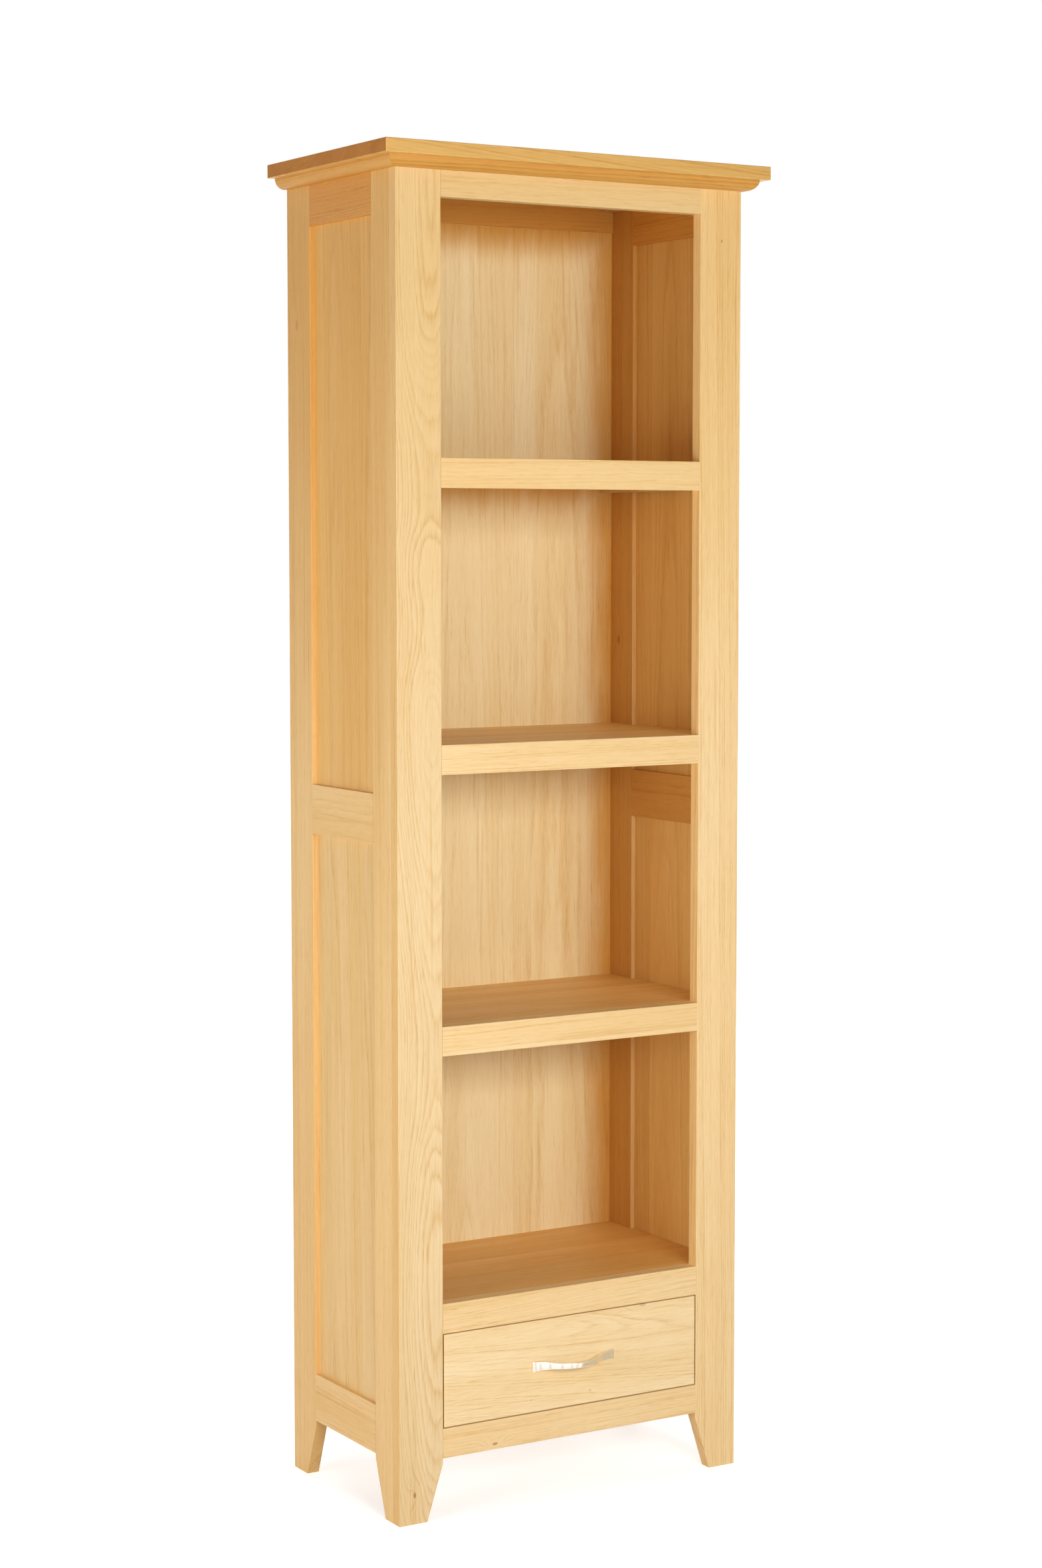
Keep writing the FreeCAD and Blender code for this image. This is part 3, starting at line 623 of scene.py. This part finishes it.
def painted_corner_shade(nodes, where, reach):
    """Painted shade on the back panel's inner face, darkest near its edges where shade falls in the
    corners.

    It is one along the rear stiles and under each shelf, and zero past reach.
    """
    far, ragged = 9.0, 0.5
    full, clear = 0.2, 1.1
    parts = nodes.parts(where["Object"])
    nearest = reach
    for edge in (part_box("side_rear_stile_left")[1].x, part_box("side_rear_stile_right")[0].x):
        away = nodes.math("ABSOLUTE", nodes.math("SUBTRACT", parts["X"], edge))
        nearest = nodes.math("MINIMUM", away, nearest)
    for board in ("back_top_rail", "shelf_upper", "shelf_middle", "shelf_lower"):
        down = nodes.math("SUBTRACT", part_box(board)[0].z, parts["Z"])
        above = nodes.math("LESS_THAN", down, 0.0)
        down = nodes.math("ADD", down, nodes.math("MULTIPLY", above, far))
        nearest = nodes.math("MINIMUM", down, nearest)
    uneven = nodes.noise(where["Object"], CORNER_SHADE_CELLS, 3.0)
    nearest = nodes.math("MULTIPLY_ADD", uneven, reach * ragged, nearest)
    corner_shade = nodes.fade(nearest, reach * full, reach * clear, 1.0, 0.0)
    inside = nodes.fade(nodes.facing(where, AXES["Y"]), -0.5, 0.5, 1.0, 0.0)
    return nodes.math("MULTIPLY", corner_shade, inside)


def with_painted_top_shade(nodes, where, top, strength, tone):
    """A tone with painted shade: more amber and darker towards the top of a board that reaches high up.
    """
    if not strength or top < TOP_SHADE_REACH:
        return (*tone, 1)
    top_shade_tint = [level ** strength for level in bpy.context.scene.bookcase_oak.mellow]
    up = nodes.parts(where["Object"])["Z"]
    return nodes.tinted(nodes.fade(up, TOP_SHADE_LOW, TOP_SHADE_HIGH), (*tone, 1), top_shade_tint)


def board_tone(nodes, where, name, cut, family):
    """A board's tone before its grain: its family's colour, deepened, with painted shade towards the
    top, on faces inside the bookcase and near the back panel's edges.
    """
    low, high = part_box(name)
    oak = bpy.context.scene.bookcase_oak
    plain = [cut.shade * level ** cut.depth for level in family]
    tone = with_painted_top_shade(nodes, where, high.z, cut.mellow, plain)
    # Painted shade: faces that look into the bookcase get a deeper, darker copy of the tone
    if cut.inside:
        depth, shade = cut.inside
        inner = with_painted_top_shade(nodes, where, high.z, 1.0, [shade * level ** depth for level in family])
        inward = (math.copysign(1, -(low + high).x), 0, 0)
        tone = nodes.mix(nodes.fade(nodes.facing(where, inward), *TURNED), tone, inner)
    # Painted shade: the back panel turns darker and more orange near its edges
    if cut.pool:
        tone = nodes.tinted(painted_corner_shade(nodes, where, cut.pool), tone, oak.corner_shade_tint)
    if cut.side_edges:
        edge = nodes.math("ABSOLUTE", nodes.facing(where, AXES["X"]))
        tone = nodes.mix(nodes.fade(edge, *TURNED), tone, (*oak.side, 1))
    return tone


def knotted(nodes, name, place, turn):
    """The swell and the darkness that the knots of one board give its grain."""
    low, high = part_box(name)
    chained = {}
    for board, spot, size, dark in KNOTS:
        if board == name:
            centre = turn @ (Vector(spot) - (low + high) / 2)
            inputs = {"Place": place, "Centre": centre, "Size": size, "Depth": dark, **chained}
            knot = nodes.group("knot", inputs)
            chained = {key: knot[key] for key in ("Swell", "Knot")}
    return chained


def oak_material(name, cut, family, seed):
    """The material of one board, with its own cut out of the log."""
    low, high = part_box(name)
    along, through = AXES[cut.grain], AXES[cut.face]
    turn = Matrix((through.cross(along), through, along))
    oak = bpy.context.scene.bookcase_oak
    material, nodes, shader = new_material("oak " + name.replace("_", " "))
    where = nodes.add("ShaderNodeTexCoord").outputs
    place = nodes.add("ShaderNodeMapping", {
        "Vector": where["Object"],
        "Rotation": turn.to_euler("XYZ"),
        "Location": -(turn @ ((low + high) / 2)),
    }).outputs[0]
    end = nodes.math("ABSOLUTE", nodes.facing(where, along))
    inputs = {
        "Place": place, "Heart": (*cut.heart, 0), "Lean": (*cut.lean, 0), "Seed": seed,
        "End": nodes.fade(end, *TURNED), "Tone": board_tone(nodes, where, name, cut, family),
        "Ring width": oak.ring_width * cut.rings, "Figure": cut.figure,
        **knotted(nodes, name, place, turn),
    }
    if cut.bow:
        from_middle, board_length = nodes.parts(place)["Z"], abs(along.dot(high - low))
        share_up = nodes.math("MULTIPLY_ADD", from_middle, 1 / board_length, 0.5)
        inputs["Bow"] = nodes.curve(share_up, cut.bow)
    if cut.stave:
        staves = nodes.group(
            "staves", {"Place": place, "Width": cut.stave, "Seed": seed, "Tone": inputs["Tone"]})
        inputs.update(Place=staves["Place"], Tone=staves["Tone"])
    grain = nodes.group("oak grain", inputs)
    bump = nodes.add("ShaderNodeBump", {
        "Height": grain["Height"], "Strength": 0.4, "Distance": oak.pore_depth})
    nodes.give(shader["Base Color"], grain["Colour"])
    nodes.give(shader["Roughness"], grain["Roughness"])
    nodes.give(shader["Normal"], bump.outputs["Normal"])
    nodes.give(shader["Specular IOR Level"], 0.4)
    return material


def dress(boards, tone):
    """Gives each board of a table, or its left and right nodes, its own oak."""
    seed_step = 0.37
    for index, node in enumerate(sorted(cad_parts)):
        cut = boards.get(node, boards.get(node.removesuffix("_left").removesuffix("_right")))
        if cut:
            material = oak_material(node, cut, tone, index * seed_step)
            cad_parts[node].material_slots[0].material = material


def metal_material(name, tone, roughness, brushed):
    """Plated metal: its roughness and height follow fine noise, drawn out along X where brushed."""
    spread, duller = 0.12, 0.93
    material, nodes, shader = new_material(name)
    where = nodes.add("ShaderNodeTexCoord").outputs["Object"]
    cells = (120, 2600, 2600) if brushed else (1400, 1400, 1400)
    fine = nodes.noise(where, cells)
    dull = [level * duller for level in tone]
    bump = nodes.add("ShaderNodeBump", {"Height": fine, "Strength": 0.25, "Distance": 0.03 * MM})
    nodes.give(shader["Base Color"], nodes.mix(nodes.fade(fine, 0.35, 0.7), (*tone, 1), (*dull, 1)))
    nodes.give(shader["Roughness"], nodes.math("MULTIPLY_ADD", fine, spread, roughness - spread / 2))
    nodes.give(shader["Normal"], bump.outputs["Normal"])
    nodes.give(shader["Metallic"], 1.0)
    return material


# How finely the handle and the screws are divided, along them and round them
STRAP_STEPS, STRAP_CORNERS = 121, 48
BOSS_STEPS, BOSS_CORNERS = 13, 40
CROWN_STEPS, PITCH_STEPS, SCREW_CORNERS = 14, 6, 48


def circle(count):
    """So many angles round a circle."""
    return np.linspace(0, 2 * math.pi, count, endpoint=False)


def skin(rings):
    """Points and faces of a closed surface through rings of points, rings x around x 3.

    Neighbouring rings are joined by quads, and each end ring by triangles to its middle.
    """
    count, around = rings.shape[:2]
    points = np.concatenate([rings.reshape(-1, 3), rings[[0, -1]].mean(axis=1)])
    here = np.arange(count * around).reshape(count, around)
    beside = np.roll(here, -1, axis=1)
    quads = np.stack([here[:-1], beside[:-1], beside[1:], here[1:]], axis=-1).reshape(-1, 4)
    first = np.full(around, count * around)
    start = np.stack([first, beside[0], here[0]], axis=-1)
    end = np.stack([first + 1, here[-1], beside[-1]], axis=-1)
    return points, quads.tolist() + start.tolist() + end.tolist()


def new_piece(name, shells, body, material):
    """Makes one piece out of closed shells, and lets it ride on its body."""
    crease = math.radians(40)
    points, faces = [], []
    for shell_points, shell_faces in shells:
        start = sum(len(done) for done in points)
        points.append(shell_points)
        faces += [[start + corner for corner in face] for face in shell_faces]
    mesh = new_mesh(name, np.concatenate(points).tolist(), faces, material)
    mesh.shade_smooth()
    mesh.set_sharp_from_angle(angle=crease)
    piece = new_object(name, mesh)
    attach(piece, body)
    return piece


def bow_rise(handle):
    """How far the bow's middle stands out past its ends."""
    return FRONT_Y - HANDLE_LOW.y - handle.thickness


def bow_radius(handle):
    """The radius of the bow's arcs, which meet half way up its rise."""
    rise = bow_rise(handle)
    return (HANDLE_HALF ** 2 + rise ** 2) / (4 * rise)


def bow_strap(handle):
    """The strap: a rounded rectangle carried along two pairs of arcs that meet half way up.

    The turn t runs from -2a to 2a. Up to a each way the line is an arc about a centre behind
    the handle, and past a an arc of the same radius about a centre in front of the drawer.
    The strap's height follows an arc from the end height down to the waist, and its section
    shrinks to a rounded tip over the last edge radius of each end.
    """
    half, rise, radius = HANDLE_HALF, bow_rise(handle), bow_radius(handle)
    limit = math.asin(half / 2 / radius)
    turn = 2 * limit * np.sin(np.linspace(-1, 1, STRAP_STEPS) * math.pi / 2)
    outer = np.abs(turn) > limit
    tilt = np.where(outer, np.sign(turn) * (2 * limit - np.abs(turn)), turn)
    swing_x = radius * np.sin(tilt)
    swing_y = radius * (1 - np.cos(tilt))
    x = np.where(outer, np.sign(turn) * half - swing_x, swing_x)
    y = np.where(outer, FRONT_Y - swing_y, FRONT_Y - rise + swing_y)

    drop = (HANDLE_HIGH.z - HANDLE_LOW.z - handle.waist) / 2
    sag_radius = (half ** 2 + drop ** 2) / (2 * drop)
    half_height = handle.waist / 2 + sag_radius - np.sqrt(sag_radius ** 2 - x ** 2)
    half_thickness = handle.thickness / 2
    from_end = np.clip((half - np.abs(x)) / handle.edge, 0, 1)
    shrink = handle.edge * (1 - np.sqrt(1 - (1 - from_end) ** 2))

    angle = circle(STRAP_CORNERS) + math.pi / STRAP_CORNERS
    corner = np.stack([np.sign(np.cos(angle)), np.sign(np.sin(angle))])
    bend = handle.edge * np.stack([np.cos(angle), np.sin(angle)])
    out = corner[0] * (half_thickness - handle.edge) + bend[0]
    out = out[None, :] * (1 - shrink / half_thickness)[:, None]
    up = corner[1] * (half_height[:, None] - handle.edge) + bend[1]
    up = up * (1 - shrink / half_height)[:, None]
    crown = handle.crown * (1 - (up / half_height[:, None]) ** 2) * (corner[0] > 0)
    reach = half_thickness + out + crown - handle.crown
    rings = np.stack([
        x[:, None] + np.sin(tilt)[:, None] * reach,
        y[:, None] - np.cos(tilt)[:, None] * reach,
        HANDLE_MIDDLE_Z + up,
    ], axis=-1)
    return skin(rings[:, ::-1])


def boss(handle, x):
    """A boss: a lathe-turned neck whose radius flares towards the drawer front."""
    radius = bow_radius(handle)
    lift = radius - math.sqrt(radius ** 2 - (HANDLE_HALF - abs(x)) ** 2) + handle.thickness / 2
    level = np.linspace(0, 1, BOSS_STEPS)[:, None]
    neck = handle.boss_neck + (handle.boss_root - handle.boss_neck) * (1 - level) ** 2
    angle = circle(BOSS_CORNERS)[None, :]
    rings = np.stack([
        x + neck * np.cos(angle),
        FRONT_Y - lift * level + 0 * angle,
        HANDLE_MIDDLE_Z + neck * np.sin(angle),
    ], axis=-1)
    return skin(rings)


def screw(seat, towards, head, shank, whole, pitch, head_height=0.0):
    """A cross-recessed screw; towards points along its shank, and seat is under its head.

    Its profile of (radius, depth) runs from the middle of the crown over the head and down the
    shank to the point. The crown sinks along two crossed arms, and below the head a ridge
    climbs round the shank once every pitch. Without a head height it is countersunk.
    """
    middle, arm_share, dome_drop, core, point = 0.04, 0.13, 0.3, 0.82, 0.06
    pan_recess, flat_recess = 0.62, 0.4
    angle = circle(SCREW_CORNERS)[None, :]
    spread = np.linspace(middle, 1, CROWN_STEPS)[:, None] * head
    arm = head * arm_share
    nearest = np.minimum(np.abs(spread * np.cos(angle)), np.abs(spread * np.sin(angle)))
    # Each is one well inside an arm of the recess, and falls to zero past its side or its end
    across_arm = np.clip(1.6 - nearest / arm, 0, 1)
    along_arm = np.clip(2.4 - 3.4 * spread / head, 0, 1)
    recess_depth = head_height * pan_recess if head_height else head * flat_recess
    dome = head_height * (1 - dome_drop * (spread / head) ** 2)
    crown_depth = -dome + across_arm * along_arm * recess_depth
    crown_radius = np.broadcast_to(spread, crown_depth.shape)

    neck_depth = 0.0 if head_height else head - shank
    rim_radius = np.array([[head], [shank]]) + 0 * angle
    rim_depth = np.array([[0.0], [neck_depth]]) + 0 * angle
    steps = int((whole - neck_depth - shank) / pitch * PITCH_STEPS)
    depth = np.linspace(neck_depth + pitch / PITCH_STEPS, whole - shank, steps)[:, None]
    ridge = np.abs(((depth / pitch + angle / (2 * math.pi)) % 1) * 2 - 1)
    thread_radius = shank * (core + (1 - core) * ridge)
    tip_radius = np.array([[shank / 2], [shank * point]]) + 0 * angle
    tip_depth = np.array([[whole - shank / 2], [whole]]) + 0 * angle

    radius = np.concatenate([crown_radius, rim_radius, thread_radius, tip_radius])
    along = np.concatenate([crown_depth, rim_depth, depth + 0 * angle, tip_depth])
    towards = Vector(towards)
    side = towards.orthogonal().normalized()
    across = towards.cross(side)
    ring_angle = np.broadcast_to(angle, radius.shape)
    points = (np.array(seat)
              + along[..., None] * np.array(towards)
              + (radius * np.cos(ring_angle))[..., None] * np.array(side)
              + (radius * np.sin(ring_angle))[..., None] * np.array(across))
    return skin(points)


class BOOKCASE_OT_oak_groups(bpy.types.Operator):
    """Make the node groups that every oak board shares"""

    bl_idname = "bookcase.oak_groups"
    bl_label = "Oak"

    def execute(self, context):
        grain_group(context.scene.bookcase_oak)
        stave_group()
        knot_group()
        return {"FINISHED"}


class BOOKCASE_OT_face_frame(bpy.types.Operator):
    """Dress the stiles and rails of the face frame"""

    bl_idname = "bookcase.face_frame"
    bl_label = "Face frame"

    def execute(self, context):
        dress(FACE_FRAME, context.scene.bookcase_oak.face)
        return {"FINISHED"}


class BOOKCASE_OT_sides(bpy.types.Operator):
    """Dress the side frames and their panels"""

    bl_idname = "bookcase.sides"
    bl_label = "Sides"

    def execute(self, context):
        dress(SIDE_FRAMES, context.scene.bookcase_oak.side)
        dress(SIDE_PANELS, context.scene.bookcase_oak.panel)
        return {"FINISHED"}


class BOOKCASE_OT_top(bpy.types.Operator):
    """Dress the top and its cornice"""

    bl_idname = "bookcase.top"
    bl_label = "Top and cornice"

    def execute(self, context):
        dress(TOP, context.scene.bookcase_oak.top)
        return {"FINISHED"}


class BOOKCASE_OT_inside(bpy.types.Operator):
    """Dress the back, the shelves and the boards hidden inside"""

    bl_idname = "bookcase.inside"
    bl_label = "Back, shelves and inner boards"

    def execute(self, context):
        oak = context.scene.bookcase_oak
        dress(BACK, oak.back)
        dress(SHELVES, oak.shelf)
        dress(INNER_BOARDS, oak.inner)
        return {"FINISHED"}


class BOOKCASE_OT_drawer(bpy.types.Operator):
    """Dress the drawer's front and its dovetailed box"""

    bl_idname = "bookcase.drawer"
    bl_label = "Drawer"

    def execute(self, context):
        oak = context.scene.bookcase_oak
        dress(DRAWER_FRONT, oak.drawer)
        dress(DRAWER_BOX, oak.box)
        return {"FINISHED"}


class BOOKCASE_OT_handle(bpy.types.Operator):
    """Make the bow handle with its rounded strap and two bosses"""

    bl_idname = "bookcase.handle"
    bl_label = "Bow handle"

    def execute(self, context):
        handle = context.scene.bookcase_handle
        nickel = metal_material("satin nickel", handle.metal, handle.roughness, True)
        bosses = [boss(handle, side * handle.boss_spacing / 2) for side in (-1, 1)]
        piece = new_piece("bow_handle", [bow_strap(handle), *bosses], "drawer", nickel)
        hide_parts("drawer_handle")
        return {"FINISHED"}


class BOOKCASE_OT_screws(bpy.types.Operator):
    """Make the screws of the handle, the top and the back"""

    bl_idname = "bookcase.screws"
    bl_label = "Screws"

    def execute(self, context):
        sizes = context.scene.bookcase_screws
        zinc = metal_material("zinc plate", sizes.metal, sizes.roughness, False)
        reach_x = context.scene.bookcase_handle.boss_spacing / 2
        machine = [
            screw((x, DRAWER_BACK_Y, HANDLE_MIDDLE_Z), (0, -1, 0), sizes.machine_head,
                  sizes.machine_shank, DRAWER_BACK_Y - SCREW_TIPS_Y, sizes.pitch,
                  sizes.machine_height)
            for x in (-reach_x, reach_x)
        ]
        piece = new_piece("handle_pan_screws", machine, "drawer", zinc)
        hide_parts("handle_screws")

        reach_x = TOP_SCREW_HIGH.x - sizes.wood_head
        ends_y = (TOP_SCREW_LOW.y + sizes.wood_head, TOP_SCREW_HIGH.y - sizes.wood_head)
        countersunk = [
            screw((x, y, TOP_SCREW_LOW.z), (0, 0, 1), sizes.wood_head,
                  sizes.wood_shank, TOP_SCREW_HIGH.z - TOP_SCREW_LOW.z, sizes.wood_pitch)
            for x in (-reach_x, reach_x) for y in ends_y
        ]
        piece = new_piece("top_wood_screws", countersunk, "carcass", zinc)
        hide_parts("top_screws")

        rows, margin = 7, 40 * MM
        heights = np.linspace(PANEL_LOW.z + margin, PANEL_HIGH.z - margin, rows)
        reach_x = PANEL_HIGH.x - sizes.back_inset
        low_heads = [
            screw((x, PANEL_HIGH.y, z), (0, -1, 0), sizes.back_head, sizes.back_shank,
                  sizes.back_length, sizes.wood_pitch, sizes.back_height)
            for x in (-reach_x, reach_x) for z in heights
        ]
        new_piece("back_screws", low_heads, "carcass", zinc)
        return {"FINISHED"}


def seen_directly(nodes):
    """One for the rays of the camera, of mirrors and of glass, and zero for light itself."""
    path = nodes.add("ShaderNodeLightPath").outputs
    seen = nodes.math("MAXIMUM", path["Is Camera Ray"], path["Is Glossy Ray"])
    return nodes.math("MAXIMUM", seen, path["Is Transmission Ray"])


def floor_material(studio):
    """A pale floor that the camera, and what mirrors it, sees almost white, with its shadows."""
    material, nodes, shader = new_material("pale floor")
    nodes.give(shader["Base Color"], (*studio.floor, 1))
    nodes.give(shader["Roughness"], 0.9)
    nodes.give(shader["Specular IOR Level"], 0.0)
    nodes.give(shader["Emission Color"], (1, 1, 1, 1))
    away = nodes.vector("LENGTH", nodes.add("ShaderNodeTexCoord").outputs["Object"])
    glow = nodes.fade(away, studio.near_floor, studio.far_floor, studio.floor_glow, 1.0)
    nodes.give(shader["Emission Strength"], nodes.math("MULTIPLY", seen_directly(nodes), glow))
    return material


def plain_floor(studio):
    """A square floor about the bookcase."""
    half = studio.floor_size / 2
    corners = [(-half, -half, 0), (half, -half, 0), (half, half, 0), (-half, half, 0)]
    mesh = new_mesh("floor", corners, [(0, 1, 2, 3)], floor_material(studio))
    new_object("floor", mesh)


# The card and the seams that the handle mirrors, on an arc about it, their azimuths in degrees
CARD_REACH, CARD_HEIGHT, CARD_STEPS = 0.3, 0.4, 9
CARD_SPAN = (28, 100)
SEAM_AZIMUTHS, SEAM_HALF_WIDTH = (-37, -6, 12), 2


def mirrored_card(name, start, end, tone):
    """A card on an arc about the handle, between two azimuths, that only reflections see.

    It stands nearer than the floor that the handle would mirror otherwise.
    """
    turn = np.radians(np.linspace(start, end, CARD_STEPS))
    x = CARD_REACH * np.sin(turn)
    y = HANDLE_LOW.y - CARD_REACH * np.cos(turn)
    edges = [np.stack([x, y, np.full(CARD_STEPS, z)], axis=-1) for z in (0, CARD_HEIGHT)]
    low = np.arange(CARD_STEPS - 1)
    faces = np.stack([low, low + 1, low + 1 + CARD_STEPS, low + CARD_STEPS], axis=-1)
    material = bpy.data.materials.new(name)
    nodes = cleared(material)
    glow = nodes.add("ShaderNodeEmission", {"Color": (*tone, 1)})
    nodes.add("ShaderNodeOutputMaterial", {"Surface": glow.outputs[0]})
    card = new_object(name, new_mesh(name, np.concatenate(edges).tolist(), faces.tolist(), material))
    card.visible_camera = card.visible_diffuse = card.visible_shadow = False


def photo_camera(studio):
    """The camera at the photo's place and angle."""
    data = bpy.data.cameras.new("camera")
    data.lens = studio.lens
    data.clip_end = 100
    camera = new_object("camera", data)
    azimuth, elevation = studio.camera_azimuth, studio.camera_elevation
    back = Vector((math.sin(azimuth) * math.cos(elevation),
                   -math.cos(azimuth) * math.cos(elevation),
                   math.sin(elevation)))
    camera.location = studio.camera_place
    camera.rotation_mode = "QUATERNION"
    camera.rotation_quaternion = (-back).to_track_quat("-Z", "Y")
    return camera


# Lamps: the setting of their power, the azimuth in degrees, height and distance at which they
# stand, the width and height of their light, and how high on the bookcase they point
Lamp = namedtuple("Lamp", "setting azimuth height distance width tall aim")
LAMPS = {
    "key lamp": Lamp("key", -4, 1.8, 4.2, 2.1, 1.0, 0.95),
    "near lamp": Lamp("near", -20, 1.0, 2.4, 1.2, 1.0, 0.9),
    "fill lamp": Lamp("fill", -76, 0.8, 3.0, 1.4, 0.8, 0.8),
    "overhead lamp": Lamp("over", 172, 3.5, 1.0, 1.6, 1.6, 1.4),
    "rear lamp": Lamp("rear", 150, 2.2, 4.0, 2.0, 2.0, 0.9),
    "side lamp": Lamp("side", 100, 1.5, 3.6, 1.6, 1.6, 0.9),
}


def soft_lamp(name, lamp, watts):
    """A soft rectangular lamp that stands round the bookcase and points at it."""
    light = bpy.data.lights.new(name, "AREA")
    light.shape = "RECTANGLE"
    light.size = lamp.width
    light.size_y = lamp.tall
    light.energy = watts
    piece = new_object(name, light)
    turn = math.radians(lamp.azimuth)
    piece.location = (math.sin(turn) * lamp.distance, -math.cos(turn) * lamp.distance, lamp.height)
    aim = Vector((0, 0, lamp.aim)) - piece.location
    piece.rotation_mode = "QUATERNION"
    piece.rotation_quaternion = aim.to_track_quat("-Z", "Y")
    piece.visible_camera = False


def white_room(studio):
    """A world that looks white, and lights the bookcase a little."""
    world = bpy.data.worlds.new("white room")
    nodes = cleared(world)
    dim = [studio.ambient * level for level in studio.room]
    light = nodes.mix(seen_directly(nodes), (*dim, 1), (1, 1, 1, 1))
    sky = nodes.add("ShaderNodeBackground", {"Color": light})
    nodes.add("ShaderNodeOutputWorld", {"Surface": sky.outputs[0]})
    return world


class BOOKCASE_OT_stage(bpy.types.Operator):
    """Set up the camera, the pale floor, the lamps and the white room"""

    bl_idname = "bookcase.stage"
    bl_label = "Studio"

    def execute(self, context):
        scene = context.scene
        studio = scene.bookcase_studio
        scene.view_settings.view_transform = "Standard"
        scene.camera = photo_camera(studio)
        scene.world = white_room(studio)
        plain_floor(studio)
        for name, lamp in LAMPS.items():
            soft_lamp(name, lamp, getattr(studio, lamp.setting))
        mirrored_card("card", *CARD_SPAN, studio.card)
        for azimuth in SEAM_AZIMUTHS:
            mirrored_card("seam", azimuth - SEAM_HALF_WIDTH, azimuth + SEAM_HALF_WIDTH, studio.seam)
        return {"FINISHED"}


class BOOKCASE_PT_panel(bpy.types.Panel):
    """Lists the bookcase's pieces and finishes"""

    bl_idname = "BOOKCASE_PT_panel"
    bl_label = "Oak bookcase"
    bl_space_type = "VIEW_3D"
    bl_region_type = "UI"
    bl_category = "Bookcase"

    def draw(self, context):
        for operator in OPERATORS:
            self.layout.operator(operator.bl_idname)
        for name in GROUPS:
            settings = getattr(context.scene, name)
            box = self.layout.box()
            for key in settings.__annotations__:
                box.prop(settings, key)


GROUPS = {
    "bookcase_oak": OakFinish,
    "bookcase_handle": BowHandle,
    "bookcase_screws": ScrewSizes,
    "bookcase_studio": Studio,
}
OPERATORS = (
    BOOKCASE_OT_oak_groups,
    BOOKCASE_OT_face_frame,
    BOOKCASE_OT_sides,
    BOOKCASE_OT_top,
    BOOKCASE_OT_inside,
    BOOKCASE_OT_drawer,
    BOOKCASE_OT_handle,
    BOOKCASE_OT_screws,
    BOOKCASE_OT_stage,
)


def register():
    """Registers the classes and their settings."""
    for group in GROUPS.values():
        bpy.utils.register_class(group)
    for made in (*OPERATORS, BOOKCASE_PT_panel):
        bpy.utils.register_class(made)
    for name, group in GROUPS.items():
        setattr(bpy.types.Scene, name, bpy.props.PointerProperty(type=group))


def unregister():
    """Takes the settings and the classes out again."""
    for name in GROUPS:
        delattr(bpy.types.Scene, name)
    for made in (BOOKCASE_PT_panel, *reversed(OPERATORS), *GROUPS.values()):
        bpy.utils.unregister_class(made)


def main():
    """Makes the whole bookcase and its studio."""
    register()
    bpy.ops.bookcase.oak_groups()
    bpy.ops.bookcase.face_frame()
    bpy.ops.bookcase.sides()
    bpy.ops.bookcase.top()
    bpy.ops.bookcase.inside()
    bpy.ops.bookcase.drawer()
    bpy.ops.bookcase.handle()
    bpy.ops.bookcase.screws()
    bpy.ops.bookcase.stage()


if __name__ == "__main__":
    main()
